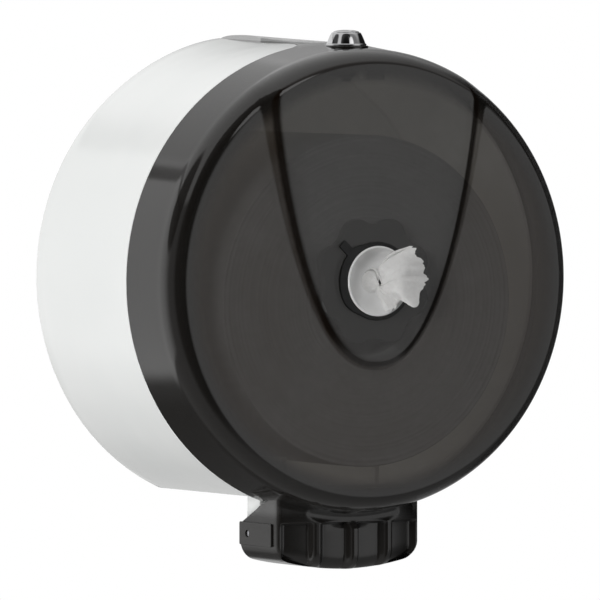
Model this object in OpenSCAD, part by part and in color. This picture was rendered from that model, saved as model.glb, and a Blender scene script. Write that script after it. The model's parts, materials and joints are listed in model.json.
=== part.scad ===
// Round wall dispenser for centre-feed toilet rolls.
// The origin is on the drum axis in the plane of the wall. +Z is up and the
// front of the dispenser faces -Y, so a depth is measured from the wall along -Y.

/* [Housing] */
// Outer radius of the drum at the seam between housing and cover
drum_r = 132; // [126:0.5:145]
// Taper of the housing's radius from the seam to the wall
back_taper = 0.2; // [0:0.1:3]
// Wall thickness of the housing
housing_wall = 2.6; // [2:0.1:3.2]
// Thickness of the back plate
back_t = 3; // [2.5:0.1:5]
// Height of the segment cut off below the drum's flat underside
flat_cut = 11; // [8:0.5:15]
// Length of the lip that enters the cover
lip_len = 5; // [3:0.5:5.5]
// Wall thickness of that lip
lip_wall = 1.9; // [1.4:0.1:2.5]
// Clearance round the lip, as the cover swings down a little when it opens
lip_gap = 0.6; // [0.5:0.05:1]

/* [Wall screws] */
// Distance between the screw holes across the housing
screw_dx = 150; // [120:1:160]
// Distance between the screw holes up the housing
screw_dz = 120; // [90:1:130]
// Radius of a screw hole
screw_hole_r = 2.75; // [2:0.05:3.5]
// Radius of the raised pad round a screw hole
screw_pad_r = 9; // [6:0.5:11]
// Height of that pad
screw_pad_h = 2; // [1:0.1:3]

/* [Cover] */
// Wall thickness of the cover
cover_wall = 2.5; // [2:0.1:3]
// Taper of the cover's radius from the seam to where the rounded rim begins
band_taper = 2.8; // [1:0.1:5]
// Distance from the seam to where the rounded rim begins
band_d = 31.5; // [28:0.5:34]
// Run of the rounded rim, inwards to the edge of the face
rim_run = 10.2; // [8:0.1:15]
// Rise of the rounded rim, forwards to the edge of the face
rim_rise = 15.1; // [12:0.1:17]
// Rise of the face from its edge to its middle
face_crown = 1.2; // [0.5:0.1:1.6]
// Rise of the raised panel in front of the edge of the face
panel_rise = 3.4; // [2.4:0.1:6]
// Gap left at the seam
seam_gap = 0.4; // [0.3:0.05:0.8]

/* [Raised panel] */
// Half width of the raised panel at its top
panel_hw = 62.5; // [55:0.5:68]
// Run of the sloping edge at the top of the panel
panel_slope = 10.5; // [6:0.5:12]
// Distance below the face's top at which the panel's sides start to close in
panel_inset = 14; // [11:0.5:24]
// Lowest point of the raised panel, below the drum axis
panel_drop = 44.5; // [42:0.5:60]
// Run of the sloping edge at the lowest point
panel_toe = 5; // [3:0.5:8]

/* [Tongue] */
// Half width of the tongue that lies on top of the housing
tongue_hw = 12.6; // [10:0.1:16]
// Half width of the tongue at the seam
tongue_root_hw = 26; // [20:0.5:30]
// Length over which the tongue widens towards the seam
tongue_flare = 37.5; // [25:0.5:50]
// Rise of the tongue above the drum radius at the wall
tongue_rise = 2.7; // [1.5:0.1:4]
// Depth by which the tongue lies in its channel
tongue_sink = 1; // [0.8:0.1:1.2]
// Clearance round the tongue
tongue_gap = 0.7; // [0.6:0.05:1]
// Thickness of the channel's floor
channel_t = 2.6; // [2:0.1:3.5]

/* [Grip block] */
// Half width of the grip block
block_hw = 45.6; // [42:0.2:50]
// Distance of the block's rounded underside below the drum
block_drop = 30; // [28:0.5:36]
// Distance from the seam back to the block's rear edge
block_back = 23.5; // [23:0.5:26]
// Distance from the seam forward to the block's front corners
block_front = 18.5; // [17:0.5:21]
// Bulge of the block's front
block_bulge = 8; // [6:0.5:9]
// Rounding of the block's lower corners
block_round = 8; // [5:0.5:10]
// Rounding of the front corners seen from above
block_corner = 4; // [2:0.5:6]
// Distance of the block's sides at the seam below the housing's flat underside
neck_lower = 5; // [4:0.5:7]
// Distance of the block's rear edge below the housing's flat underside
rear_lower = 16; // [15.5:0.5:18]
// Number of finger recesses
finger_count = 4; // [2:1:4]
// Distance between the finger recesses
finger_pitch = 23.3; // [21:0.1:24]
// Width of the rib between two recesses
finger_rib = 4; // [3:0.1:6]
// Depth of a finger recess
finger_depth = 5.5; // [3:0.1:6]
// Run of a recess's sloping side
finger_slope = 2.2; // [1:0.1:3]
// Distance of the recesses' top below the housing's flat underside
finger_lower = 14.4; // [13:0.2:19]
// Radius of the hollow between the cover's rim and the block
groove_r = 4.5; // [3:0.1:5]
// Distance of that hollow's centre below the drum
groove_low = 1.5; // [1:0.1:2]
// Distance of that hollow's centre in front of the block
groove_fwd = 1; // [0.5:0.1:2]

/* [Cover hinge] */
// Distance from the block's rear edge to the hinge axis
hinge_in = 9; // [8.5:0.1:10]
// Distance of the hinge axis above the block's lowest point
hinge_up = 19.5; // [18:0.1:20]
// Radius of the hinge pins
pin_r = 2; // [1.5:0.05:2.5]
// Length of a hinge pin
pin_len = 11.5; // [9:0.1:14]
// Running clearance of a pin in the cover, on the radius
pin_fit = 0.05; // [0.02:0.01:0.1]
// Thickness of a housing lug
lug_t = 4.6; // [3:0.1:6]
// Radius of a lug's rounded end
lug_r = 7.5; // [6:0.1:8]
// Clearance between a lug and the side of the block
lug_gap = 0.5; // [0.3:0.05:1]
// Height of the raised ear round a hinge hole
ear_h = 1; // [0.5:0.1:2]
// Length of the ear from the block's rear edge
ear_len = 36; // [25:0.5:38]
// Height of the ear above and below the hinge axis
ear_half = 6.5; // [5:0.1:7]

/* [Roll] */
// Radius of the full roll
roll_r = 92.5; // [85:0.5:96]
// Radius of the hole in the middle of the roll
roll_hole_r = 30; // [28:0.5:35]
// Width of the roll
roll_w = 134; // [120:0.5:136]
// Distance from the wall to the back of the roll
roll_back = 9.5; // [7:0.1:10]
// Gap between the roll and the nozzle's ring nut
roll_room = 2.5; // [1:0.1:8]
// Distance of the roll's axis below the nozzle's
roll_low = 11.5; // [8:0.1:15]
// Distance of the two rails from the middle
rail_x = 30; // [20:0.5:36]
// Thickness of a rail
rail_t = 3; // [2:0.1:4]
// Gap between the roll and the rails
seat_gap = 0.3; // [0.2:0.05:0.5]

/* [Nozzle] */
// Radius of the nozzle's barrel
nozzle_r = 18.3; // [17.5:0.1:19]
// Width of the nozzle's rim beyond the barrel
nozzle_lip = 1.3; // [1:0.1:3]
// Thickness of that rim with the collar under it
nozzle_rim_t = 2; // [1.8:0.1:3]
// Width of the rim's front edge
nozzle_edge = 0.8; // [0.6:0.1:1.5]
// Radius of the paper outlet
throat_r = 5.5; // [5:0.1:7]
// Depth of the nozzle's dish
dish_depth = 9; // [8:0.1:11]
// Length of the nozzle behind the panel's front
nozzle_len = 22; // [20:0.5:24]
// Outer radius of the nozzle's rear end
nozzle_tip_r = 9; // [8.5:0.1:11]
// Clearance between the barrel and the parts round it
barrel_gap = 0.2; // [0.1:0.05:0.3]
// Width of the collar round the panel's hole, under the nozzle's rim
collar_w = 6; // [5:0.1:7]
// Thickness of the collar
collar_t = 0.9; // [0.6:0.1:1.1]
// Length of the collar's tab
tab_len = 7; // [4:0.1:9]
// Width of the collar's tab
tab_w = 5; // [4:0.5:9]
// Width of the ring nut between its hole and the hollows of its edge
nut_w = 13.5; // [10:0.5:14.5]
// Radius of a lobe of the ring nut
lobe_r = 9; // [7:0.5:10]
// Number of lobes
lobe_count = 8; // [6:1:10]
// Thickness of the ring nut
nut_t = 6; // [5:0.1:7]

/* [Lock] */
// Distance from the seam to the lock's axis
lock_d = 15.6; // [15:0.1:17]
// Depth of the lock's seat below the drum radius
lock_sink = 1.5; // [1.2:0.1:1.8]
// Thickness of the boss under the lock
pad_t = 4.5; // [4:0.1:5]
// Radius of the lock's flange
flange_r = 11.4; // [10.5:0.1:12]
// Thickness of the lock's flange
flange_t = 1.2; // [0.8:0.1:2]
// Radius of the lock's conical head at its top
head_r = 8.4; // [8:0.1:9]
// Height of the lock's head above its seat
head_h = 7.3; // [6:0.1:8]
// Radius of the lock's barrel
barrel_r = 6; // [5.5:0.1:7]
// Length of the barrel below its seat
barrel_len = 13.5; // [12.5:0.1:14]
// Radius of the turning plug
plug_r = 4.5; // [4:0.1:4.8]
// Width of the head's rim round the plug's cap
head_rim = 1; // [0.8:0.1:1.6]
// Height of the plug's domed cap above the head
cap_h = 1.4; // [1:0.1:2]
// Depth of the cap's seat in the head
cap_sink = 1; // [0.6:0.1:1.5]
// Running clearance of the plug, on the radius
plug_fit = 0.08; // [0.03:0.01:0.1]
// Width of the key slot
key_slot = 1.8; // [1.2:0.1:2.5]
// Depth of the key slot
key_depth = 9; // [4:0.5:12]
// Thickness of the clamping nut
hex_t = 3.5; // [3:0.1:4]
// Width of the clamping nut across its flats
hex_af = 17; // [15:0.5:18]
// Thickness of the washer
washer_t = 0.8; // [0.5:0.1:1]
// Thickness of the cam
cam_t = 2.4; // [2:0.1:2.8]
// Reach of the cam from the lock's axis
cam_reach = 16; // [14:0.5:16.5]
// Width of the cam
cam_w = 9; // [8:0.5:9.5]
// Number of wafers in the plug
wafer_count = 4; // [2:1:4]
// Distance between the wafers
wafer_pitch = 2.2; // [2:0.1:2.4]
// Thickness of a wafer
wafer_t = 0.9; // [0.6:0.1:1.1]
// Width of a wafer
wafer_w = 3; // [2.5:0.1:3.5]
// Length of a wafer's leaf spring
spring_len = 3.8; // [3:0.1:4.5]
// Height of the leaf spring's bow
spring_bow = 0.9; // [0.6:0.1:1.1]

/* [Catch] */
// Clearance between the turned cam's tip and the catch's side plate
catch_side = 1.5; // [1:0.1:2.5]
// Thickness of the catch
catch_t = 3; // [2:0.1:3.5]
// Gap between the locked cam and the catch
catch_gap = 0.4; // [0.3:0.05:0.6]
// Height of the catch's hook
catch_h = 6.5; // [5:0.1:7]
// Length of the turned cam that the catch's hook covers
catch_cover = 6.5; // [5:0.1:7.5]

/* [Paper] */
// Gap round the paper in the outlet
paper_gap = 0.4; // [0.3:0.05:0.6]
// Width of the paper tail outside the nozzle
tail_w = 36; // [28:1:40]
// Reach of the tail to the side
tail_side = 25; // [22:0.5:30]
// Reach of the tail in front of the panel
tail_fwd = 15; // [13:0.5:20]

/* [Hidden] */

$fn = 96;
far = 400;                                   // past everything, for cuts
bite = 1;                                    // overlap of pieces that are joined
skin = 0.01;                                 // thinnest slice for a blend
rim_steps = 14;
crown_steps = 8;
panel_steps = 22;
flat_drop = drum_r - flat_cut;
back_r = drum_r - back_taper;
band_r = drum_r - band_taper;
face_r = band_r - rim_run;
face_d = band_d + rim_rise;
panel_d = face_d + panel_rise;
panel_top = face_r - panel_inset;
panel_back = panel_d - cover_wall;
nut_back = panel_back - nut_t;
housing_depth = roll_back + roll_w + roll_room - nut_back;
floor_z = housing_wall - flat_drop;
lip_r = drum_r - cover_wall - lip_gap - (drum_r - band_r) * lip_len / band_d;
lip_inset = drum_r - lip_r;
rail_edge = rail_x - rail_t / 2;
roll_z = -roll_low;
rail_top = roll_z - seat_gap - sqrt(roll_r * roll_r - rail_edge * rail_edge);
block_r = drum_r + block_drop;
neck_drop = flat_drop + neck_lower;
neck_ease = 3.4;                             // run of the bend at the block's neck
neck_fall = 1.2;                             // fall over that run
block_top = neck_drop - 12;                  // top of the block's sides, inside the cover
block_y = block_back - housing_depth;        // the block's rear edge
sill_gap = 0.7;                              // under the housing's lip
hinge_y = block_y - hinge_in;
hinge_z = hinge_up - block_r;
pin_inset = 0.8;                             // of a pin's end in its ear
lug_x = block_hw - cover_wall - lug_gap - lug_t;
lock_y = -(housing_depth + lock_d);
hole_r = nozzle_r + barrel_gap;
nozzle_rim_r = nozzle_r + nozzle_lip;
nozzle_bevel = 0.6;
throat_bevel = 1;
collar_r = hole_r + collar_w;
nut_r = hole_r + nut_w;
tab_turn = 137;                              // direction of the collar's tab
tongue_r = drum_r - tongue_sink;             // underside of the tongue
channel_r = tongue_r - tongue_gap;
lock_seat = drum_r - lock_sink;
pad_z = lock_seat - pad_t;                   // underside of the lock's boss
seat_t = 1.6;                                // thickness of the flange's seat
seat_margin = 1;                             // of that seat round the flange
seat_clear = 1.5;                            // of the cut round the flange
head_step = 0.6;                             // width of the flange's edge
cap_r = head_r - head_rim;
washer_margin = 0.5;                         // round the nut and round the washer
washer_r = hex_af / 2 + washer_margin;
nut_z = pad_z - washer_t - hex_t;
barrel_z = lock_seat - barrel_len;
retainer_t = 0.8;
axial_play = 0.1;                            // of the plug in the lock's body
retainer_z = barrel_z - axial_play - retainer_t;
stem_end = 0.3;                              // of the plug's round stem past the clip
tail_z = retainer_z - stem_end;
cam_z = tail_z - cam_t;
cam_hub = 1;                                 // width of the hub round the cam's arm
cam_hole = 6;                                // square drive at the plug's tail
drive_clear = 0.1;
catch_x = cam_reach + catch_side;
key_reach = plug_r - 1;
wafer_top = 1;                               // of the first wafer's slot below the seat
wafer_short = 0.5;                           // of a wafer's end inside the plug's edge
wafer_fit = 0.1;
spring_t = 0.15;
spring_w = wafer_t - 0.3;
spring_y = wafer_w / 2 + wafer_fit;
spring_room = 0.2;
bolt_r = 1.48;                               // the cam's screw
bolt_len = 5;
bolt_core_r = 1.5;                           // its hole in the plug
bolt_core_len = 6;
bolt_head_r = 3;
bolt_head_h = 2;
bolt_slot_w = 1;
bolt_slot_depth = 0.8;
seat_overlap = 0.2;                          // of the screw's shank in its head
strand_len = 34;                             // of the paper behind the nozzle
spout_len = 5;                               // of its round end
bend_back = 20;                              // from the round end to the bend
bend_low = 6;
bend_r = 6;
strand_w = 14;
strand_t = 2;
strand_end = 8;                              // length on the roll's innermost turn
strand_lift = 4;                             // above that turn's lowest line
tail_start = 0.5;                            // of the tail inside the nozzle's rear end
tail_fold_r = 1.5;
tail_clear = 3;                              // in front of the nozzle's rim and its throat

// A depth d in front of the seam, as a y coordinate
function fwd(d) = -(housing_depth + d);

// Points of the rounded rim: a quarter ellipse about (face_r, band_d)
function rim(a, b) = [for (k = [0:rim_steps])
    [face_r + a * cos(90 * k / rim_steps), band_d + b * sin(90 * k / rim_steps)]];

// Points of the face from its edge to the axis, risen by a parabola
function crown(d, rise) = [for (k = [1:crown_steps])
    let (t = 1 - k / crown_steps) [face_r * t, d + rise * (1 - t * t)]];

// Half outline of the cover, set in by w from its outside
function cover_outline(w, top_d, rise, start) = concat(
    [[0, start], [drum_r - w, start]],
    rim(band_r - face_r - w, top_d - band_d - w),
    crown(top_d - w, rise));

// Outline of the raised panel: straight at the top, closing in below
function panel_outline(hw, toe_z, m) = concat(
    [[-hw, drum_r]],
    [for (k = [0:panel_steps]) panel_point(-hw, toe_z, m, k / panel_steps)],
    [for (k = [panel_steps - 1:-1:0]) panel_point(hw, toe_z, m, k / panel_steps)],
    [[hw, drum_r]]);
function panel_point(hw, toe_z, m, t) =
    let (u = 1 - (1 - t) * (1 - t))
    [hw * pow(1 - pow(u, m), 1 / 2.27), panel_top - (panel_top - toe_z) * u];

// Half width of the tongue at a depth from the wall
function tongue_half(d, gap) =
    let (t = max(0, (d - housing_depth + tongue_flare) / tongue_flare))
    gap + tongue_hw + (tongue_root_hw - tongue_hw) * (1 - sqrt(max(0, 1 - t * t)));

// Front of the grip block, as a y coordinate
function block_front_y(x) = fwd(block_front + block_bulge * (1 - pow(x / block_hw, 2)));

// Puts a shape's z along the drum axis, away from the wall, and its y up
module on_axis(d = 0) {
    translate([0, -d, 0]) rotate([90, 0, 0]) children();
}

// Extrudes a shape drawn in y and z along x
module across(x, t) {
    translate([x, 0, 0]) rotate([90, 0, 90]) linear_extrude(t) children();
}

module both_sides() {
    children();
    mirror([1, 0, 0]) children();
}

module above(z) {
    translate([-far, -far, z]) cube([2 * far, 2 * far, far]);
}

module below(z) {
    translate([-far, -far, z - far]) cube([2 * far, 2 * far, far]);
}

module drum(r0, r1, d0, d1) {
    on_axis(d0) cylinder(h = d1 - d0, r1 = r0, r2 = r1);
}

// ---- Housing ----

module housing_shell() {
    difference() {
        intersection() {
            drum(back_r, drum_r, 0, housing_depth);
            above(-flat_drop);
        }
        intersection() {
            drum(back_r - housing_wall, drum_r - housing_wall, back_t, housing_depth + bite);
            above(floor_z);
        }
    }
}

module housing_lip() {
    difference() {
        intersection() {
            drum(lip_r, lip_r, housing_depth - 2 * bite, housing_depth + lip_len);
            above(lip_inset - flat_drop);
        }
        intersection() {
            drum(lip_r - lip_wall, lip_r - lip_wall, housing_depth - 3 * bite, far);
            above(lip_inset + lip_wall - flat_drop);
        }
    }
}

// Step that joins the lip to the shell
module lip_step() {
    difference() {
        intersection() {
            drum(drum_r - bite, drum_r - bite, housing_depth - 2 * bite, housing_depth);
            above(bite - flat_drop);
        }
        intersection() {
            drum(lip_r - lip_wall, lip_r - lip_wall, housing_depth - 3 * bite, far);
            above(lip_inset + lip_wall - flat_drop);
        }
    }
}

module screw_pads() {
    for (x = [-1, 1], z = [-1, 1])
        translate([x * screw_dx / 2, 0, z * screw_dz / 2])
            on_axis(back_t - bite) cylinder(h = screw_pad_h + bite, r = screw_pad_r);
}

module screw_holes() {
    for (x = [-1, 1], z = [-1, 1])
        translate([x * screw_dx / 2, 0, z * screw_dz / 2])
            on_axis(-bite) cylinder(h = back_t + screw_pad_h + 2 * bite, r = screw_hole_r);
}

module rails() {
    both_sides()
        translate([rail_edge, -housing_depth + bite, floor_z - bite])
            cube([rail_t, housing_depth - back_t, rail_top - floor_z + bite]);
}

module hinge_lug() {
    across(lug_x, lug_t) difference() {
        union() {
            translate([hinge_y, hinge_z]) circle(lug_r);
            translate([hinge_y - lug_r, hinge_z])
                square([2 * lug_r, -hinge_z - flat_drop + bite]);
        }
        translate([hinge_y, hinge_z]) circle(pin_r);
    }
}

// Plan of the tongue, or of its channel, from the wall to the seam
module tongue_plan(gap, from_d, to_d) {
    depths = [for (k = [0:20]) from_d + (to_d - from_d) * k / 20];
    polygon(concat(
        [for (d = depths) [-tongue_half(d, gap), -d]],
        [for (k = [20:-1:0]) [tongue_half(depths[k], gap), -depths[k]]]));
}

module channel_floor() {
    intersection() {
        difference() {
            drum(drum_r - bite, drum_r - bite, 0, housing_depth);
            drum(channel_r - channel_t, channel_r - channel_t, back_t, housing_depth + bite);
        }
        translate([-tongue_root_hw, -housing_depth, 0])
            cube([2 * tongue_root_hw, housing_depth, drum_r]);
    }
}

module channel_cut() {
    difference() {
        linear_extrude(far) tongue_plan(tongue_gap, -bite, housing_depth + bite);
        drum(channel_r, channel_r, -2 * bite, housing_depth + lip_len + bite);
    }
}

// Hook behind which the cam turns
module lock_catch() {
    hook_y = lock_y - cam_w / 2 - catch_gap;
    hook_z = cam_z - (catch_h - cam_t) / 2;
    top_z = sqrt(pow(lip_r - lip_wall / 2, 2) - pow(catch_x + catch_t, 2));
    translate([catch_x, hook_y - catch_t, hook_z]) {
        cube([catch_t, -housing_depth - hook_y + catch_t, catch_h]);
        translate([-catch_side - catch_cover, 0, 0])
            cube([catch_side + catch_cover + bite, catch_t, catch_h]);
    }
    translate([catch_x, fwd(lip_len), hook_z]) cube([catch_t, lip_len, top_z - hook_z]);
}

module rear_housing() {
    color("whitesmoke") difference() {
        union() {
            housing_shell();
            housing_lip();
            lip_step();
            screw_pads();
            rails();
            both_sides() hinge_lug();
            channel_floor();
            lock_catch();
        }
        channel_cut();
        screw_holes();
    }
}

module hinge_pin() {
    translate([block_hw + ear_h - pin_inset - pin_len, hinge_y, hinge_z])
        rotate([0, 90, 0]) cylinder(h = pin_len, r = pin_r);
}

module hinge_pin_left() {
    color("silver") mirror([1, 0, 0]) hinge_pin();
}

module hinge_pin_right() {
    color("silver") hinge_pin();
}

// ---- Paper ----

module tissue_roll() {
    color("white") translate([0, 0, roll_z]) on_axis(roll_back) difference() {
        cylinder(h = roll_w, r = roll_r);
        translate([0, 0, -bite]) cylinder(h = roll_w + 2 * bite, r = roll_hole_r);
    }
}

// Round fold of the paper
module fold(x, y, z) {
    translate([x, y, z]) sphere(tail_fold_r, $fn = 16);
}

// Gathered paper, as thick as the outlet lets through, from a depth d
module spout(d, len) {
    on_axis(d) cylinder(h = len, r = throat_r - paper_gap, $fn = 20);
}

// Paper that leads from the roll's innermost turn to the nozzle
module inner_strand() {
    tip_d = housing_depth + panel_d - nozzle_len - seat_gap;
    start_z = roll_z - roll_hole_r + strand_lift;
    color("white") {
        hull() {
            spout(tip_d - spout_len, spout_len);
            translate([0, bend_back - tip_d, -bend_low]) sphere(bend_r, $fn = 20);
        }
        hull() {
            translate([0, bend_back - tip_d, -bend_low]) sphere(bend_r, $fn = 20);
            translate([-strand_w / 2, strand_len - tip_d, start_z])
                cube([strand_w, strand_end, strand_t]);
        }
    }
}

// Crumpled sheet that hangs out of the nozzle
module tissue_tail() {
    start_d = housing_depth + panel_d - nozzle_len + tail_start;
    mouth_d = housing_depth + panel_d + nozzle_rim_t - dish_depth + tail_clear;
    rim_y = fwd(panel_d + nozzle_rim_t + tail_clear);
    front_y = fwd(panel_d + tail_fwd);
    half = tail_w / 2;
    color("white") {
        spout(start_d, mouth_d - start_d + bite);
        hull() {
            spout(mouth_d, bite);
            fold(tail_side * 0.16, rim_y, half);
            fold(tail_side * 0.08, rim_y, half * 0.22 - half);
            fold(tail_side * 0.68, front_y, half * 0.78);
            fold(tail_side, front_y + tail_side / 5, 0);
            fold(tail_side * 0.6, front_y, half / 6 - half);
        }
    }
}

// ---- Cover ----

module panel_body(inset, d) {
    outer = panel_outline(panel_hw + panel_slope - inset, inset - panel_drop - panel_toe, 1.158);
    inner = panel_outline(panel_hw - inset, inset - panel_drop, 1.331);
    intersection() {
        hull() {
            on_axis(housing_depth + band_d) linear_extrude(face_d - band_d - inset) polygon(outer);
            on_axis(housing_depth + d - skin) linear_extrude(skin) polygon(inner);
        }
        on_axis(housing_depth) rotate_extrude()
            polygon(cover_outline(inset, panel_d, 0, band_d - bite));
    }
}

module cover_shell() {
    difference() {
        union() {
            on_axis(housing_depth) rotate_extrude()
                polygon(cover_outline(0, face_d, face_crown, seam_gap));
            panel_body(0, panel_d);
        }
        on_axis(housing_depth) rotate_extrude()
            polygon(cover_outline(cover_wall, face_d, face_crown, -bite));
        panel_body(cover_wall, panel_back);
    }
}

// Web that closes the cover below the housing's flat underside
module sill() {
    intersection() {
        drum(drum_r - bite, drum_r - bite, housing_depth + seam_gap,
            housing_depth + seam_gap + cover_wall);
        below(lip_inset - flat_drop - sill_gap);
    }
}

module tongue() {
    intersection() {
        difference() {
            drum(drum_r + tongue_rise, drum_r, 0, housing_depth + seam_gap + bite);
            drum(tongue_r, tongue_r, -bite, housing_depth + seam_gap + 2 * bite);
        }
        linear_extrude(far) tongue_plan(0, 0, housing_depth + seam_gap + bite);
    }
}

// Outline of the block seen from the front, set in by w
module block_front_view(w) {
    hw = block_hw - w;
    r = block_r - w;
    c = block_round - w;
    cz = -sqrt(pow(r - c, 2) - pow(hw - c, 2));
    end = atan2(cz, hw - c);
    corner = [for (k = [0:6]) [hw - c + c * cos(end * k / 6), cz + c * sin(end * k / 6)]];
    arc = [for (k = [1:15]) let (a = end + (-90 - end) * k / 15) [r * cos(a), r * sin(a)]];
    half = concat([[hw, -block_top]], corner, arc);
    polygon(concat(half, [for (k = [len(half) - 2:-1:0]) [-half[k][0], half[k][1]]]));
}

// Plan of the block, set in by w at its sides and by front_w at its front
module block_plan(w, front_w, back_y) {
    hw = block_hw - w;
    c = block_corner;
    lean = atan(2 * block_bulge / block_hw);
    x_end = hw - c * (1 - sin(lean));
    y_end = block_front_y(x_end) + front_w;
    front = [for (k = [0:10]) let (x = x_end * k / 10) [x, block_front_y(x) + front_w]];
    corner = [for (k = [1:6]) let (a = -90 + lean + (90 - lean) * k / 6)
        [x_end - c * sin(lean) + c * cos(a), y_end + c * cos(lean) + c * sin(a)]];
    half = concat(front, corner, [[hw, back_y]]);
    polygon(concat(half, [for (k = [len(half) - 1:-1:1]) [-half[k][0], half[k][1]]]));
}

// Side view of the block: its rear slopes down from the neck at the seam
module block_side_view() {
    top_y = fwd(seam_gap);
    polygon([[block_y, -far], [block_y, -flat_drop - rear_lower],
        [top_y + neck_ease, -neck_drop - neck_fall], [top_y, -neck_drop], [top_y, 0],
        [fwd(far), 0], [fwd(far), -far]]);
}

// Keeps the block's lower front edge round
module block_nose() {
    c = block_round + bite;
    d = block_front + block_bulge;
    on_axis(housing_depth) rotate_extrude() polygon(concat(
        [[0, -housing_depth], [block_r, -housing_depth]],
        [for (k = [0:8]) [block_r - c + c * cos(90 * k / 8), d - c + c * sin(90 * k / 8)]],
        [[0, d]]));
}

module finger_recesses() {
    half = (finger_pitch - finger_rib) / 2;
    for (k = [0:finger_count - 1]) {
        x = (k - (finger_count - 1) / 2) * finger_pitch;
        y = block_front_y(x);
        translate([x, y, -flat_drop - finger_lower - far]) linear_extrude(far)
            polygon([[-half - finger_slope, -finger_depth], [half + finger_slope, -finger_depth],
                [half - finger_slope, finger_depth], [finger_slope - half, finger_depth]]);
    }
}

module groove() {
    on_axis(housing_depth + block_front + block_bulge + groove_fwd) rotate_extrude()
        translate([drum_r + groove_low, 0]) circle(groove_r, $fn = 48);
}

module grip_block() {
    difference() {
        intersection() {
            translate([0, 0, -far]) linear_extrude(far)
                block_plan(0, 0, block_y);
            on_axis(0) linear_extrude(far) block_front_view(0);
            across(-far, 2 * far) block_side_view();
            block_nose();
        }
        intersection() {
            translate([0, 0, -far]) linear_extrude(far)
                block_plan(cover_wall, cover_wall + finger_depth, 0);
            on_axis(0) linear_extrude(far) block_front_view(cover_wall);
        }
        drum(drum_r - cover_wall, band_r - cover_wall, housing_depth, housing_depth + band_d);
        finger_recesses();
        groove();
    }
}

module ear() {
    translate([block_hw - bite, block_y - ear_len, hinge_z - ear_half])
        cube([bite + ear_h, ear_len, 2 * ear_half]);
}

// Flat seat for the lock's flange outside, with a boss for its nut inside
module lock_pad() {
    on_lock(pad_z) cylinder(h = pad_t, r = washer_r + washer_margin);
    on_lock(lock_seat - seat_t) cylinder(h = seat_t, r = flange_r + seat_margin);
}

module front_cover() {
    color("dimgray") difference() {
        union() {
            cover_shell();
            sill();
            tongue();
            grip_block();
            both_sides() ear();
            lock_pad();
        }
        on_axis(housing_depth + panel_back - 2 * bite)
            cylinder(h = cover_wall + 4 * bite, r = hole_r);
        on_lock(pad_z - bite) cylinder(h = pad_t + 2 * bite, r = barrel_r + barrel_gap);
        on_lock(lock_seat) cylinder(h = head_h, r = flange_r + seat_clear);
        translate([-far, hinge_y, hinge_z]) rotate([0, 90, 0])
            cylinder(h = 2 * far, r = pin_r + pin_fit);
    }
}

// ---- Nozzle ----

// White funnel: rim in front of the panel, dish, outlet and tapered rear end
module feed_nozzle() {
    seat_d = panel_d + collar_t;
    rim_d = panel_d + nozzle_rim_t;
    rear_d = panel_d - nozzle_len;
    edge_r = nozzle_rim_r - nozzle_bevel;
    throat_d = rim_d - dish_depth;
    color("white") on_axis(housing_depth) rotate_extrude() polygon([
        [throat_r, rear_d], [nozzle_tip_r, rear_d], [nozzle_r, nut_back], [nozzle_r, seat_d],
        [nozzle_rim_r, seat_d], [nozzle_rim_r, rim_d - nozzle_bevel], [edge_r, rim_d],
        [edge_r - nozzle_edge, rim_d], [throat_r + throat_bevel, throat_d + throat_bevel],
        [throat_r, throat_d]]);
}

// Black ring with one tab, between the nozzle's rim and the front of the panel
module nozzle_collar() {
    color("black") on_axis(housing_depth + panel_d) difference() {
        union() {
            cylinder(h = collar_t, r = collar_r);
            rotate([0, 0, tab_turn])
                translate([0, -tab_w / 2, 0]) cube([collar_r + tab_len, tab_w, collar_t]);
        }
        translate([0, 0, -bite]) cylinder(h = collar_t + 2 * bite, r = hole_r);
    }
}

// Scalloped ring nut that holds the nozzle from behind
module nozzle_nut() {
    color("gray") on_axis(housing_depth + nut_back) difference() {
        union() {
            cylinder(h = nut_t, r = nut_r);
            for (k = [0:lobe_count - 1])
                rotate([0, 0, 360 * (k + 0.5) / lobe_count])
                    translate([nut_r - lobe_r / 2, 0, 0]) cylinder(h = nut_t, r = lobe_r);
        }
        translate([0, 0, -bite]) cylinder(h = nut_t + 2 * bite, r = hole_r);
    }
}

// ---- Lock ----

module on_lock(z) {
    translate([0, lock_y, z]) children();
}

module lock_body() {
    color("silver") on_lock(lock_seat) difference() {
        union() {
            cylinder(h = flange_t, r = flange_r);
            translate([0, 0, flange_t])
                cylinder(h = head_h - flange_t, r1 = flange_r - head_step, r2 = head_r);
            translate([0, 0, -barrel_len]) cylinder(h = barrel_len + bite, r = barrel_r);
        }
        translate([0, 0, -barrel_len - bite]) cylinder(h = far, r = plug_r + plug_fit);
        translate([0, 0, head_h - cap_sink]) cylinder(h = far, r = cap_r + plug_fit);
    }
}

module lock_washer() {
    color("silver") on_lock(pad_z - washer_t) difference() {
        cylinder(h = washer_t, r = washer_r);
        translate([0, 0, -bite]) cylinder(h = washer_t + 2 * bite, r = barrel_r + barrel_gap);
    }
}

module lock_nut() {
    color("silver") on_lock(nut_z) difference() {
        cylinder(h = hex_t, r = hex_af / sqrt(3), $fn = 6);
        translate([0, 0, -bite]) cylinder(h = hex_t + 2 * bite, r = barrel_r);
    }
}

function wafer_z(k) = lock_seat - wafer_top - (k + 0.5) * wafer_pitch;

// Wafer, or its slot: longer by room and thicker by the fit grow
module wafer(grow, room) {
    cube([2 * (plug_r - wafer_short + room), wafer_w + grow, wafer_t + grow], center = true);
}

// Bowed leaf spring, its chord along x
module leaf_spring() {
    bow_r = spring_len * spring_len / (8 * spring_bow) + spring_bow / 2;
    linear_extrude(spring_w, center = true) intersection() {
        translate([0, spring_bow - bow_r]) difference() {
            circle(bow_r);
            circle(bow_r - spring_t);
        }
        translate([-spring_len / 2, 0]) square([spring_len, spring_bow]);
    }
}

module at_spring(k) {
    on_lock(wafer_z(k)) translate([0, spring_y, 0]) children();
}

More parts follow.
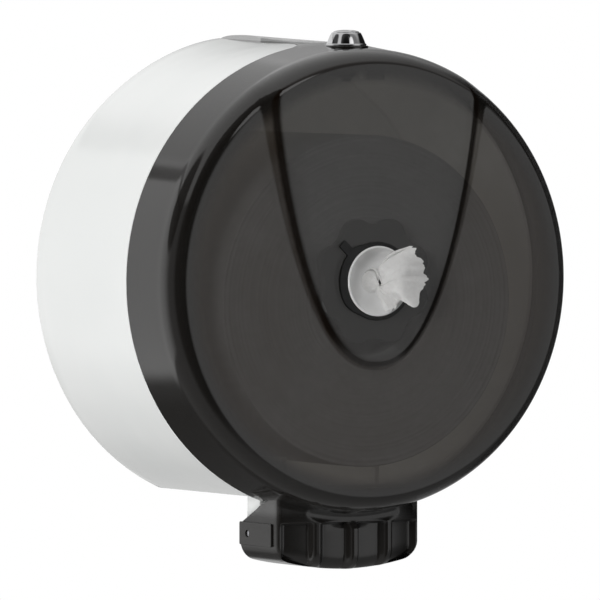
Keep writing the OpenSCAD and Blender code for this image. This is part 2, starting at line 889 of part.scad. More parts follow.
// Turning plug: domed cap with the key slot, stem and square tail
module lock_plug() {
    cap_z = lock_seat + head_h - cap_sink + axial_play;
    color("silver") difference() {
        union() {
            on_lock(cap_z) cylinder(h = cap_sink, r = cap_r);
            on_lock(cap_z + cap_sink)
                scale([1, 1, cap_h / cap_r]) intersection() {
                    sphere(cap_r);
                    translate([-cap_r, -cap_r, 0]) cube(2 * cap_r);
                }
            on_lock(tail_z) cylinder(h = cap_z - tail_z + cap_sink / 2, r = plug_r);
            on_lock(cam_z) translate([-cam_hole / 2, -cam_hole / 2, 0])
                cube([cam_hole, cam_hole, cam_t + bite]);
        }
        on_lock(cap_z + cap_sink / 2)
            translate([-key_slot / 2, -cap_r, 0]) cube([key_slot, 2 * cap_r, far]);
        on_lock(cap_z + cap_sink + cap_h - key_depth)
            translate([-key_slot / 2, -key_reach, 0]) cube([key_slot, 2 * key_reach, far]);
        for (k = [0:wafer_count - 1]) {
            on_lock(wafer_z(k)) wafer(wafer_fit, bite);
            at_spring(k) translate([-spring_len / 2 - spring_room, -spring_room, -wafer_t / 2])
                cube([spring_len + 2 * spring_room, spring_bow + 2 * spring_room, wafer_t]);
        }
        on_lock(cam_z - bite) cylinder(h = bolt_core_len + bite, r = bolt_core_r);
    }
}

module lock_wafers() {
    color("gold") for (k = [0:wafer_count - 1]) on_lock(wafer_z(k)) wafer(0, 0);
}

module wafer_springs() {
    color("silver") for (k = [0:wafer_count - 1])
        at_spring(k) leaf_spring();
}

// Spring clip that keeps the plug in the barrel
module lock_retainer() {
    color("silver") on_lock(retainer_z) difference() {
        cylinder(h = retainer_t, r = barrel_r);
        translate([0, 0, -bite]) cylinder(h = retainer_t + 2 * bite, r = plug_r);
    }
}

module lock_cam() {
    color("black") on_lock(cam_z) difference() {
        union() {
            cylinder(h = cam_t, r = cam_w / 2 + cam_hub);
            translate([-cam_w / 2, 0, 0]) cube([cam_w, cam_reach - cam_w / 2, cam_t]);
            translate([0, cam_reach - cam_w / 2, 0]) cylinder(h = cam_t, r = cam_w / 2);
        }
        translate([-cam_hole / 2 - drive_clear, -cam_hole / 2 - drive_clear, -bite])
            cube([cam_hole + 2 * drive_clear, cam_hole + 2 * drive_clear, cam_t + 2 * bite]);
    }
}

module cam_washer() {
    color("silver") on_lock(cam_z - washer_t) difference() {
        cylinder(h = washer_t, r = cam_w / 2);
        translate([0, 0, -bite])
            cylinder(h = washer_t + 2 * bite, r = bolt_core_r + drive_clear);
    }
}

module cam_screw() {
    color("silver") on_lock(cam_z - washer_t) {
        difference() {
            translate([0, 0, -bolt_head_h]) cylinder(h = bolt_head_h, r = bolt_head_r);
            translate([-bolt_slot_w / 2, -bolt_head_r - bite, -bolt_head_h - bite])
                cube([bolt_slot_w, 2 * (bolt_head_r + bite), bolt_slot_depth + bite]);
        }
        translate([0, 0, -seat_overlap]) cylinder(h = bolt_len + seat_overlap, r = bolt_r);
    }
}

rear_housing();
hinge_pin_left();
hinge_pin_right();
tissue_roll();
inner_strand();
front_cover();
feed_nozzle();
nozzle_collar();
nozzle_nut();
tissue_tail();
lock_body();
lock_washer();
lock_nut();
lock_plug();
lock_wafers();
wafer_springs();
lock_retainer();
lock_cam();
cam_washer();
cam_screw();
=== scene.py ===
"""Round wall dispenser for a centre-feed toilet roll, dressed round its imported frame.

Shapes are worked out in millimetres, and piece() makes them metres. The drum's axis is the
Y axis, the wall is the plane y = 0, the cover faces -Y and +Z is up. A depth is measured
along -Y, from the wall or from the seam between housing and cover.
"""
import json
import math

import bmesh
import bpy
import numpy as np
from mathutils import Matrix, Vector


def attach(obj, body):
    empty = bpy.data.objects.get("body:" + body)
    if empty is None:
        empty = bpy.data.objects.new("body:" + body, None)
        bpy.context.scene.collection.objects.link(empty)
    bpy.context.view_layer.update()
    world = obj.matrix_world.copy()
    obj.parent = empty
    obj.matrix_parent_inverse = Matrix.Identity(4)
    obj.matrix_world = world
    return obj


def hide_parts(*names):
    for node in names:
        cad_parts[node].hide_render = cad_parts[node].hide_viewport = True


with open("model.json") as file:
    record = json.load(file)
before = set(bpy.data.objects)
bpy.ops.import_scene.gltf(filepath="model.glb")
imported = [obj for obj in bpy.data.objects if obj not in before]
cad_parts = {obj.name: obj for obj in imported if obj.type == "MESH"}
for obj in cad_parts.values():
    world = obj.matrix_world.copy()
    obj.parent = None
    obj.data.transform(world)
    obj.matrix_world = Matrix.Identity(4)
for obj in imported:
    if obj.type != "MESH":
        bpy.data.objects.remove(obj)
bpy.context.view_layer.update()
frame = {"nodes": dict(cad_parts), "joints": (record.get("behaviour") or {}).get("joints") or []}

MM = 0.001  # in metres
QUARTER, TURN = math.pi / 2, 2 * math.pi


# ---- Sizes, as in the construction ----

DRUM_R, SEAM, SEAM_GAP, COVER_WALL = 132, 104.5, 0.4, 2.5
BAND_R, BAND_D = 129.2, 31.5
FACE_R, FACE_D, FACE_CROWN = 119, 46.6, 1.2
PANEL_D = 50
PANEL_HW, PANEL_SLOPE = 62.5, 10.5
PANEL_TOP, PANEL_DROP, PANEL_TOE = 105, 44.5, 5
FLAT_DROP = 121
TONGUE_HW, TONGUE_ROOT, TONGUE_FLARE = 12.6, 26, 37.5
TONGUE_RISE, TONGUE_CROWN, TONGUE_SINK = 3.1, 1.3, 1
BLOCK_HW, BLOCK_R, BLOCK_BACK = 45.6, 162, 23.5
BLOCK_FRONT, BLOCK_BULGE = 18.5, 8
BLOCK_ROUND, BLOCK_CORNER = 8, 4
FINGER_PITCH, FINGER_HALF, FINGER_SLOPE = 23.3, 9.65, 2.2
FINGER_DEPTH, FINGER_TOP, FINGER_COUNT = 5.5, -135.4, 4
GROOVE_R, GROOVE_OUT, GROOVE_D = 4.5, 133.5, 27.5
NOZZLE_HOLE_R = 18.5
ROLL_R, ROLL_HOLE_R, ROLL_BACK, ROLL_W, ROLL_Z = 92.5, 30, 9.5, 134, -11.5
LOCK = (0, -120.1, 130.5)
HINGE = np.array(frame["joints"][0]["pos_m"]) / MM
PIN_R, EAR_LEN, EAR_HALF, EAR_H = 2, 36, 6.5, 1


# ---- Meshes ----

def circle(n):
    """n + 1 angles of a full turn, the last of them on the first."""
    return TURN * np.arange(n + 1) / n


def wrapped(angle):
    """The same angle within half a turn of 0."""
    return (angle + math.pi) % TURN - math.pi


def columns(*parts):
    """Points from their coordinates, each an array or one number for all."""
    return np.stack(np.broadcast_arrays(*parts), -1)


def unit(vectors):
    """The same directions at length 1."""
    return vectors / np.linalg.norm(vectors, axis=-1, keepdims=True)


def polar(radius, angle):
    """Plan point or points at a radius and an angle from the first axis."""
    return columns(radius * np.cos(angle), radius * np.sin(angle))


def over(radius, x):
    """Height of a circle's arc over x, and 0 beside the circle."""
    return np.sqrt(np.maximum(radius ** 2 - x ** 2, 0))


def bezier(a, corner, b, t):
    """Quadratic curve from a towards the corner and on to b, at t from 0 to 1."""
    return (1 - t) ** 2 * a + 2 * t * (1 - t) * corner + t ** 2 * b


def fillet(points, radii, steps=5):
    """A closed polygon with its corners rounded: each corner becomes a curve from a
    point radius before it to a point radius after it."""
    points = np.array(points, float)
    out = []
    for k, (corner, radius) in enumerate(zip(points, radii)):
        if radius == 0:
            out.append(corner)
            continue
        sides = points[k - 1] - corner, points[(k + 1) % len(points)] - corner
        a, b = (corner + unit(side) * radius for side in sides)
        out += [bezier(a, corner, b, t) for t in np.linspace(0, 1, steps + 1)]
    return np.array(out)


def placed(u, v, h, axis, at=(0, 0, 0)):
    """Plan coordinates u, v and a height h as points: the height runs along x, -y or z,
    and the plan lies across it, so that a turn from u to v is counterclockwise."""
    where = {"x": [h, u, v], "y": [u, -h, v], "z": [u, v, h]}[axis]
    return columns(*where) + np.array(at)


def spin(profile, n, axis, at=(0, 0, 0)):
    """Surface of revolution: rows follow the profile (radius, height), which runs
    counterclockwise where it is closed, and columns go round the axis."""
    r, h = np.array(profile, float).T[..., None]
    turn = circle(n)
    return placed(r * np.cos(turn), r * np.sin(turn), h, axis, at)


def plate(outline, centre, hole, low, high, soft, axis, at=(0, 0, 0)):
    """Flat piece between two heights, its edges rounded over soft. The outline runs
    counterclockwise and is seen whole from its centre. hole is the radius of the hole
    there, and None where there is no hole."""
    outline = np.r_[outline, outline[:1]]
    aim = outline - centre
    reach = np.linalg.norm(aim, axis=1)
    aim = aim / reach[:, None]
    bend = soft * np.array([0, 0.3, 1])
    edge = [(reach - a, high - b) for a, b in zip(bend[::-1], bend)]
    edge += [(reach - a, low + b) for a, b in zip(bend, bend[::-1])]
    brace = reach - soft - 0.5
    rows = [(brace, low)] + edge[::-1] + [(brace, high)]
    if hole is None:
        rows = [(reach * 0, low)] + rows + [(reach * 0, high)]
    else:
        hole = reach * 0 + hole
        ease = min(0.3 * soft, 0.2)
        brace = hole + ease + 0.5
        rows = [(hole, low + ease), (hole + ease, low), (brace, low)] + rows
        rows += [(brace, high), (hole + ease, high), (hole, high - ease), (hole, low + ease)]
    return np.stack([placed(*(centre + aim * r[:, None]).T, h, axis, at) for r, h in rows])


def mirrored(grid):
    """The grid on the other side of x = 0, still facing outwards."""
    return (grid * [-1, 1, 1])[::-1]


def piece(name, patches, body, slot, node, sharp=35):
    """One object from patches, each a rows x columns x 3 array whose faces look along
    (step along a row) x (step to the next row). Points that meet are merged."""
    points, faces, start = [], [], 0
    for patch in patches:
        rows, cols = patch.shape[:2]
        index = start + np.arange(rows * cols).reshape(rows, cols)
        quads = np.stack([index[:-1, :-1], index[:-1, 1:], index[1:, 1:], index[1:, :-1]], -1)
        faces.append(quads.reshape(-1, 4))
        points.append(patch.reshape(-1, 3))
        start += rows * cols
    mesh = bpy.data.meshes.new(name)
    mesh.from_pydata((np.concatenate(points) * MM).tolist(), [], np.concatenate(faces).tolist())
    return finish_mesh(name, mesh, body, slot, node, sharp)


def smoke_piece(name, patches):
    """Part of the cover's moulding."""
    piece(name, patches, "cover", "smoke_plastic", "front_cover")


def white_piece(name, patches):
    """Part of the housing's moulding."""
    piece(name, patches, "housing", "white_plastic", "rear_housing")


def linked(name, data):
    """A new object in the scene."""
    obj = bpy.data.objects.new(name, data)
    bpy.context.scene.collection.objects.link(obj)
    return obj


def finish_mesh(name, mesh, body, slot, node, sharp=35):
    """Merges what meets, drops faces without area, shades smooth, gives the piece its material and body,
    and hides the node it replaces.
    """
    work = bmesh.new()
    work.from_mesh(mesh)
    bmesh.ops.remove_doubles(work, verts=work.verts, dist=2e-6)
    bmesh.ops.dissolve_degenerate(work, edges=work.edges, dist=1e-7)
    work.to_mesh(mesh)
    work.free()
    mesh.shade_smooth()
    mesh.set_sharp_from_angle(angle=math.radians(sharp))
    obj = linked(name, mesh)
    mesh.materials.append(MATERIALS[slot])
    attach(obj, body)
    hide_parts(node)
    return obj


def strip(a, b):
    """Ruled patch between two rows of points."""
    return np.stack([a, b])


def soft_step(x, soft):
    """1 below 0, 0 above 1 and a straight ramp between, with both corners rounded over
    soft on each side: the ramp is the mean of the clipped ramps shifted by up to soft."""
    shifts = np.linspace(-soft, soft, 7)
    return np.mean([np.clip(1 - x - k, 0, 1) for k in shifts], 0)


# ---- Materials ----

class Value:
    """A number or colour on a node's output, for use in a Python expression: each
    operator adds its Math node."""

    def __init__(self, maker, socket):
        self.maker, self.socket = maker, socket

    def _math(self, operation, a, b):
        """Math node with two inputs."""
        return self.maker.node("ShaderNodeMath", {"operation": operation}, {0: a, 1: b})

    def __add__(self, other):
        return self._math("ADD", self, other)

    def __mul__(self, other):
        return self._math("MULTIPLY", self, other)

    def __rsub__(self, other):
        return self._math("SUBTRACT", other, self)

    __radd__ = __add__
    __rmul__ = __mul__

    def ramp(self, low, high, to_low=0.0, to_high=1.0):
        """Smooth step from to_low at low to to_high at high."""
        return self.maker.node("ShaderNodeMapRange", {"interpolation_type": "SMOOTHSTEP"},
                               {"Value": self, "From Min": low, "From Max": high,
                                "To Min": to_low, "To Max": to_high})


class Maker:
    """Adds nodes to one tree."""

    def __init__(self, tree):
        self.tree = tree
        tree.nodes.clear()

    def node(self, kind, settings=None, inputs=None, output=0):
        """One node: its type, its settings, and values or links for its sockets."""
        node = self.tree.nodes.new(kind)
        for name, value in (settings or {}).items():
            setattr(node, name, value)
        for name, value in (inputs or {}).items():
            if isinstance(value, Value):
                self.tree.links.new(value.socket, node.inputs[name])
            else:
                node.inputs[name].default_value = value
        return Value(self, node.outputs[output]) if node.outputs else None

    def place(self, scale=(1, 1, 1), turn=(0, 0, 0)):
        """Object coordinates, turned and scaled."""
        where = self.node("ShaderNodeTexCoord", output="Object")
        return self.node("ShaderNodeMapping", {}, {"Vector": where, "Rotation": turn, "Scale": scale})

    def coordinate(self, axis):
        """Object coordinate along X, Y or Z, in millimetres."""
        where = self.place([1 / MM] * 3)
        return self.node("ShaderNodeSeparateXYZ", {}, {"Vector": where}, output=axis)

    def noise(self, per_metre, detail=3.0, rough=0.5, where=None, warp=0.0):
        """Noise from 0 to 1 with so many grains per metre."""
        return self.node("ShaderNodeTexNoise", {},
                         {"Vector": where or self.place(), "Scale": per_metre, "Detail": detail,
                          "Roughness": rough, "Distortion": warp})

    def mix(self, amount, a, b):
        """Colour between a and b."""
        return self.node("ShaderNodeMix", {"data_type": "RGBA"},
                         {"Factor": amount, 6: a, 7: b}, output=2)

    def bump(self, height, distance, strength=1.0):
        """Normal over a height, which counts in units of distance."""
        return self.node("ShaderNodeBump", {},
                         {"Height": height, "Distance": distance, "Strength": strength})


def finish(name, draw, sockets):
    """A material: constants for sockets, and what draw(maker) says of the sockets that
    change over the surface."""
    material = bpy.data.materials.new(name)
    material.use_nodes = True
    maker = Maker(material.node_tree)
    shader = maker.node("ShaderNodeBsdfPrincipled", {}, {**sockets, **draw(maker)})
    maker.node("ShaderNodeOutputMaterial", {}, {"Surface": shader})
    return material


PAINTED_INSIDE_GLOW = (0.055, 0.052, 0.048, 1)  # painted glow: emission on the housing's inside, standing in for daylight that the white wall lets through
CLEAR_FACE, CLEAR_BAND = 0.48, 0.10  # share of light that passes one skin of the smoke shell
CLEAR_TONGUE, CLEAR_GRIP = 0.5, 0.02


def white_moulding(m):
    """Glossy white shell: faint clouding, fine handling haze and the slow waves of a
    moulded wall, with a painted glow on its inside that stands in for daylight through the wall."""
    cloud = m.noise(9, 4)
    haze = m.noise(55, 5, 0.6)
    grime = m.noise(420, 3, 0.7).ramp(0.55, 0.8)
    tone = m.mix(cloud.ramp(0.35, 0.7), (0.80, 0.815, 0.805, 1), (0.835, 0.845, 0.835, 1))
    tone = m.mix(grime * 0.05, tone, (0.62, 0.61, 0.58, 1))
    waves = m.noise(14, 2) + 0.02 * m.noise(900, 2)
    x, y, z = (m.coordinate(axis) for axis in "XYZ")
    # painted glow: inside the drum the surface emits a faint light, as if daylight came through the wall
    inside = (x * x + z * z).ramp((DRUM_R - 2) ** 2, (DRUM_R - 1) ** 2, 1, 0)
    inside = inside * z.ramp(1 - FLAT_DROP, 2 - FLAT_DROP) * y.ramp(-1, 0, 1, 0)
    return {"Base Color": tone, "Roughness": haze.ramp(0.3, 0.8, 0.10, 0.2) + grime * 0.08,
            "Emission Color": m.mix(inside, (0, 0, 0, 1), PAINTED_INSIDE_GLOW), "Normal": m.bump(waves, 0.0006)}


def smoke_moulding(m):
    """Glossy smoke shell: a brown black resin with slight flow clouds and wiping marks,
    clearest on the face, denser round the band and densest in the thick grip block."""
    cloud = m.noise(16, 4, 0.6, warp=0.6)
    wipes = m.noise(1, 5, 0.7, where=m.place((40, 40, 260), (0, 0.6, 0)))
    dust = m.noise(1500, 2, 0.7).ramp(0.66, 0.78)
    waves = m.noise(12, 2) + 0.015 * m.noise(700, 2)
    x, y, z = (m.coordinate(axis) for axis in "XYZ")
    front = (x * x + z * z).ramp((FACE_R - 11) ** 2, (FACE_R + 1) ** 2, 1, 0)
    grip = z.ramp(-BLOCK_R + 28, -BLOCK_R + 34, 1, 0)
    tongue = y.ramp(-SEAM, 12 - SEAM)
    face_y = -SEAM - PANEL_D
    slope = y.ramp(face_y + 1.2, face_y + 2.1, 1, 0) * y.ramp(face_y + 0.05, face_y + 0.5)
    panel = y.ramp(face_y + 0.4, face_y + 1.5, 1, 0)
    flank = grip * (x * x).ramp((BLOCK_HW - 1.5) ** 2, (BLOCK_HW - 0.5) ** 2)
    wall = CLEAR_BAND + front * (CLEAR_FACE - CLEAR_BAND) + tongue * (CLEAR_TONGUE - CLEAR_BAND)
    clear = grip * CLEAR_GRIP + (1 - grip) * wall * (1 - 0.85 * slope)
    face_tone = m.mix(panel, (0.030, 0.020, 0.013, 1), (0.030, 0.029, 0.028, 1))
    tone = m.mix(front, (0.011, 0.010, 0.009, 1), face_tone)
    tone = m.mix(cloud.ramp(0.3, 0.75, 0.25, 0), tone, (0.008, 0.007, 0.006, 1))
    tone = m.mix(slope, tone, (0.006, 0.0035, 0.002, 1))
    tone = m.mix(dust * 0.08, tone, (0.25, 0.24, 0.23, 1))
    return {"Base Color": tone, "Coat Weight": 1 - 0.95 * flank,
            "Roughness": wipes.ramp(0.35, 0.75, 0.07, 0.13) + dust * 0.1 + grip * 0.22,
            "Alpha": 1 - clear * cloud.ramp(0.25, 0.8, 1.06, 0.94), "Normal": m.bump(waves, 0.0005)}


def worn(wear, roughness, grain, depth):
    """A finish with handling wear: the noise wear ramped to a roughness, and a fine grain."""
    def draw(m):
        """The sockets that change."""
        return {"Roughness": m.noise(*wear).ramp(*roughness), "Normal": m.bump(m.noise(*grain), depth)}
    return draw


SATIN_WHITE = worn((180, 4, 0.6), (0.3, 0.8, 0.28, 0.42), (1400, 3), 0.00004)
SATIN_DARK = worn((160, 4, 0.6), (0.3, 0.8, 0.32, 0.5), (1700, 3), 0.00006)
BRIGHT_METAL = worn((240, 4, 0.7), (0.35, 0.8, 0.06, 0.16), (90, 2), 0.00003)
DULL_METAL = worn((420, 5, 0.7), (0.3, 0.8, 0.28, 0.5), (1800, 3), 0.00003)


def crepe(m):
    """Soft tissue: fine crepe ridges, loose fibres and a mottled, slightly warm white."""
    ridges = m.noise(1, 3, 0.6, where=m.place((260, 1900, 260)))
    fibres = m.noise(2600, 4, 0.7)
    mottle = m.noise(320, 4, 0.6)
    tone = m.mix(mottle.ramp(0.3, 0.75), (0.73, 0.725, 0.715, 1), (0.80, 0.795, 0.785, 1))
    return {"Base Color": tone, "Normal": m.bump(ridges + 0.6 * fibres, 0.00022, 0.7)}


MATERIALS = {row[0]: finish(*row) for row in [
    # white_plastic's emission is the painted glow inside the housing, not a lamp
    ("white_plastic", white_moulding,
     {"Coat Weight": 0.5, "Coat Roughness": 0.06, "Emission Strength": 1}),
    ("smoke_plastic", smoke_moulding, {"Coat Roughness": 0.04, "IOR": 1.55}),
    ("nozzle_white", SATIN_WHITE, {"Base Color": (0.88, 0.88, 0.875, 1)}),
    ("black_plastic", SATIN_DARK, {"Base Color": (0.007, 0.007, 0.007, 1)}),
    ("grey_plastic", SATIN_DARK, {"Base Color": (0.24, 0.245, 0.24, 1)}),
    ("tissue", crepe, {"Roughness": 0.95, "Sheen Weight": 0.15, "Sheen Roughness": 0.5}),
    ("chrome", BRIGHT_METAL, {"Base Color": (0.80, 0.80, 0.81, 1), "Metallic": 1}),
    ("zinc_steel", DULL_METAL, {"Base Color": (0.56, 0.57, 0.60, 1), "Metallic": 1}),
    ("brass", DULL_METAL, {"Base Color": (0.72, 0.53, 0.24, 1), "Metallic": 1}),
]}


# ---- Cover ----

def panel_edge(half_width, toe_z, power, angle):
    """Distance from the axis to the panel's outline at an angle from straight up: upright
    sides down to PANEL_TOP, then x = half_width (1 - u^power)^(1/2.27), u from 0 to 1."""
    t = np.linspace(0, 1, 400)
    u = 1 - (1 - t) ** 2
    x = half_width * (1 - u ** power) ** (1 / 2.27)
    z = PANEL_TOP - (PANEL_TOP - toe_z) * u
    below = np.interp(angle, np.arctan2(x, z), np.hypot(x, z))
    upright = half_width / np.maximum(np.sin(angle), 1e-4)
    return np.where(angle < math.atan2(half_width, PANEL_TOP), upright, below)


RIM_LENGTH = 20
RIM_END = FACE_R + RIM_LENGTH


def cover_section(s, inset):
    """The cover's section at s, which runs out along the face, round the rim's quarter
    ellipse and back along the band: radius, plain depth and raised depth from the seam."""
    quarter = np.clip((s - FACE_R) / RIM_LENGTH, 0, 1) * QUARTER
    back = np.clip(s - RIM_END, 0, None)
    r = np.minimum(s, FACE_R) + (BAND_R - FACE_R - inset) * np.sin(quarter)
    r = r + (DRUM_R - BAND_R) * back / BAND_D
    crown = FACE_CROWN * np.clip(1 - (s / FACE_R) ** 2, 0, None)
    plain = BAND_D + (FACE_D - BAND_D - inset) * np.cos(quarter) + crown - back
    raised = BAND_D + (PANEL_D - BAND_D - inset) * np.cos(quarter) - back
    return r, plain, raised


def cover_skin(turn, inset):
    """One side of the cover's wall, set in by inset: rows from the nozzle hole to the
    seam, columns round. Rows crowd where the ray crosses the panel's sloping edge."""
    angle = np.abs(wrapped(turn))
    toe = inset - PANEL_DROP
    inner = panel_edge(PANEL_HW - inset, toe, 1.331, angle)
    outer = panel_edge(PANEL_HW + PANEL_SLOPE - inset, toe - PANEL_TOE, 1.158, angle)
    run = outer - inner
    face = np.linspace(NOZZLE_HOLE_R, FACE_R, 22)
    rim = FACE_R + RIM_LENGTH * np.linspace(0, 1, 15)[1:]
    band = RIM_END + (BAND_D - SEAM_GAP) * np.array([0.08, 0.25, 0.45, 0.65, 0.82, 0.93, 0.98, 1])
    rings = np.repeat(np.r_[face, rim, band][:, None], len(turn), 1)
    crossings = inner + np.array([-0.22, -0.1, 0, 0.12, 0.3, 0.7, 0.88, 1, 1.1, 1.22])[:, None] * run
    over_rim = FACE_R + RIM_LENGTH * np.arcsin(
        np.clip((crossings - FACE_R) / (BAND_R - FACE_R - inset), 0, 1)) / QUARTER
    along = np.where(crossings < FACE_R, crossings, over_rim)
    along = np.clip(along, NOZZLE_HOLE_R + 0.2, RIM_END - 0.2)
    s = np.sort(np.concatenate([rings, along]), 0)
    r, plain, raised = cover_section(s, inset)
    depth = plain + (raised - plain) * soft_step((r - inner) / run, 0.12)
    return columns(r * np.sin(turn), -(SEAM + depth), r * np.cos(turn))


def tongue_half(depth):
    """Half width of the tongue: straight, then a quarter ellipse out to its root."""
    t = np.clip((depth - SEAM + TONGUE_FLARE) / TONGUE_FLARE, 0, 1)
    return TONGUE_HW + (TONGUE_ROOT - TONGUE_HW) * (1 - np.sqrt(1 - t * t))


def tongue_skin(share, top):
    """Top or underside of the tongue: rows from the seam to the wall, columns across."""
    flare = SEAM - TONGUE_FLARE * (1 - np.sin(np.linspace(QUARTER, 0, 14)))
    depth = np.r_[flare, np.linspace(SEAM - TONGUE_FLARE, 0, 9)[1:]]
    back = (1 - depth / SEAM)[:, None]
    radius = DRUM_R + back * (TONGUE_RISE - TONGUE_CROWN * share ** 4) if top else DRUM_R - TONGUE_SINK
    y = -depth
    y[0] = -SEAM - SEAM_GAP
    x = tongue_half(depth)[:, None] * share
    return columns(x, y[:, None], over(radius, x))


def cover_shell():
    """Smoke dome with its raised panel, and the tongue that runs back over the housing,
    as one closed wall."""
    root = math.asin(TONGUE_ROOT / DRUM_R)
    across = np.linspace(-root, root, 27)
    round_it = np.linspace(root, TURN - root, 335)
    turn = np.r_[across, round_it[1:]]
    outer, inner = cover_skin(turn, 0), cover_skin(turn, COVER_WALL)
    seat = DRUM_R - TONGUE_SINK
    middle = columns(seat * np.sin(turn), -SEAM - SEAM_GAP, seat * np.cos(turn))
    a, b = len(across), len(across) - 1
    share = np.sin(across) / math.sin(root)
    top, under = tongue_skin(share, True), tongue_skin(share, False)
    top[0], under[0] = outer[-1][:a], middle[:a]
    patches = [outer, inner[::-1], strip(inner[0], outer[0]),
               strip(outer[-1][b:], middle[b:]), strip(middle, inner[-1]),
               top, under[::-1], strip(top[-1], under[-1]),
               strip(top[:, 0], under[:, 0]), strip(under[:, -1], top[:, -1])]
    smoke_piece("cover_shell", patches)


def cover_sill():
    """Web that closes the cover below the housing's flat underside: a segment of a disc
    between a chord and the cover's wall."""
    chord, radius = -118.16, DRUM_R - COVER_WALL - 0.02
    half = over(radius, chord)
    x = half * np.sin(np.linspace(-1, 1, 41) * QUARTER)
    top, bottom = np.full(len(x), chord), -over(radius, x)
    front, back = SEAM + SEAM_GAP + COVER_WALL, SEAM + SEAM_GAP

    def face(depth):
        """The segment at a depth: its chord and its arc."""
        return np.stack([columns(x, -depth, top), columns(x, -depth, bottom)])

    near, far = face(front), face(back)
    patches = [near[::-1], far, strip(far[1], near[1]), strip(near[0], far[0])]
    smoke_piece("cover_sill", patches)


def lock_seat():
    """Boss in the cover's wall: flat seat for the lock's flange above, seat for its nut
    below, bored for the barrel."""
    low, high, seat = -4.5, 0, -1.6
    bore, boss, rim = 6.2, 9.5, 12.4
    section = fillet([(bore, high), (bore, low), (boss, low), (boss, seat), (rim, seat), (rim, high)],
                     [0.2, 0.2, 0.5, 0.5, 0.3, 0.5])
    section = np.r_[section, section[:1]]
    smoke_piece("lock_seat", [spin(section, 96, "z", LOCK)])


def block_front(x):
    """Depth from the seam of the block's bowed front."""
    return BLOCK_FRONT + BLOCK_BULGE * (1 - (x / BLOCK_HW) ** 2)


def block_plan():
    """The block's outline from above, from its left rear corner round the front to its
    right rear corner: points and inward normals. The front is a parabola."""
    lean = math.atan(2 * BLOCK_BULGE / BLOCK_HW)
    c = BLOCK_CORNER
    end = BLOCK_HW - c * (1 - math.sin(lean))
    x = np.linspace(0, end, 73)
    front = columns(x, -(SEAM + block_front(x)))
    centre = front[-1] + c * np.array([-math.sin(lean), math.cos(lean)])
    a = np.linspace(-QUARTER + lean, 0, 9)[1:]
    corner = centre + polar(c, a)
    back = np.array([0.06, 0.2, 0.4, 0.55, 0.6, 0.65, 0.75, 0.88, 1])
    start = corner[-1, 1]
    side = columns(BLOCK_HW, start + (BLOCK_BACK - SEAM - start) * back)
    right = np.concatenate([front, corner, side])
    outline = np.concatenate([right[:0:-1] * [-1, 1], right])
    along = np.gradient(outline, axis=0)
    along[len(right) - 1] = (1, 0)
    return outline, unit(columns(-along[:, 1], along[:, 0]))


def finger_hollow(x):
    """How much of a recess's depth there is at x: 1 in a recess, 0 on a rib."""
    middle = (FINGER_COUNT - 1) / 2
    nearest = np.clip(np.round(x / FINGER_PITCH + middle), 0, FINGER_COUNT - 1) - middle
    away = np.abs(x - nearest * FINGER_PITCH)
    return soft_step((away - FINGER_HALF + FINGER_SLOPE) / FINGER_SLOPE, 0.3)


def block_top(x, y):
    """Height of the block's upper edge: on the cover's band in front of the seam, and
    sloping down to the rear edge behind it."""
    depth = np.clip(-y - SEAM, 0, BAND_D)
    band = DRUM_R - 0.05 - (DRUM_R - BAND_R) * depth / BAND_D
    on_band = -over(band, x)
    behind = np.interp(-y, [81, 100.6, 102.8, 104.1, 105.1], [-137, -127.6, -126.6, -125.6, -124.4])
    return np.where(-y > SEAM + 0.5, on_band, np.minimum(behind, on_band))


def block_skin(outline, normal, side, front, hollows):
    """One side of the block's wall, set in by side at its sides and front at its front:
    the wall from its upper edge to an inner line on the underside, and the underside
    within that line. The edge between them is a quarter circle."""
    facing = np.clip(normal[:, 1], 0, 1) ** 4
    base = outline + normal * (side + (front - side) * facing)[:, None]
    radius = BLOCK_R - side
    corner = (BLOCK_ROUND - side) * (1 - facing) + (BLOCK_ROUND + 1 - side) * facing
    reach, wall_rows = 13, 22
    turn = np.linspace(0, QUARTER, 8)
    none = np.zeros((wall_rows, len(base)))
    inset = np.concatenate([none, corner * (1 - np.cos(turn))[:, None],
                            corner + (reach - corner) * np.linspace(0, 1, 4)[1:, None]])
    lift = np.concatenate([none, corner * (1 - np.sin(turn))[:, None], none[:3]])
    top = block_top(*base.T)
    ledge = np.minimum(FINGER_TOP, top - 1)
    edge = corner - over(radius, base[:, 0])
    share = np.linspace(0, 1, 9)[:, None]
    upper = top + (ledge + 0.5 - top) * share
    step = ledge + np.array([0.25, 0, -0.3, -0.7, -1.2])[:, None]
    lower = ledge - 1.7 + (edge - ledge + 1.7) * share[1:]
    wall = np.concatenate([upper, step, lower])
    dent = np.zeros(inset.shape)
    if hollows:
        deep = np.concatenate([wall, np.repeat(edge[None], len(inset) - wall_rows, 0)])
        mask = soft_step(deep - ledge + 1, 0.4)
        fade = np.clip(1 - inset / reach, 0, 1)
        dent = FINGER_DEPTH * finger_hollow(base[:, 0]) * mask * facing * fade
        out = np.hypot(base[:, 0], deep) - GROOVE_OUT
        groove = over(GROOVE_R, out) + block_front(base[:, 0]) - GROOVE_D
        dent = dent + np.clip(groove, 0, None) * facing
    place = base + normal * (inset + dent)[..., None]
    under = lift - over(radius, place[..., 0])
    z = under.copy()
    z[:wall_rows] = wall + (under[wall_rows] - edge) * np.linspace(0, 1, wall_rows)[:, None] ** 3
    shell = np.concatenate([place, z[..., None]], -1)
    half = len(base) // 2
    right = shell[-1, half:]
    share = np.linspace(-1, 1, 15)
    x = right[:, :1] * share
    fill = columns(x, right[:, 1:2], -over(radius, x))
    fill[:, -1], fill[:, 0] = right, shell[-1, half::-1]
    return shell, fill


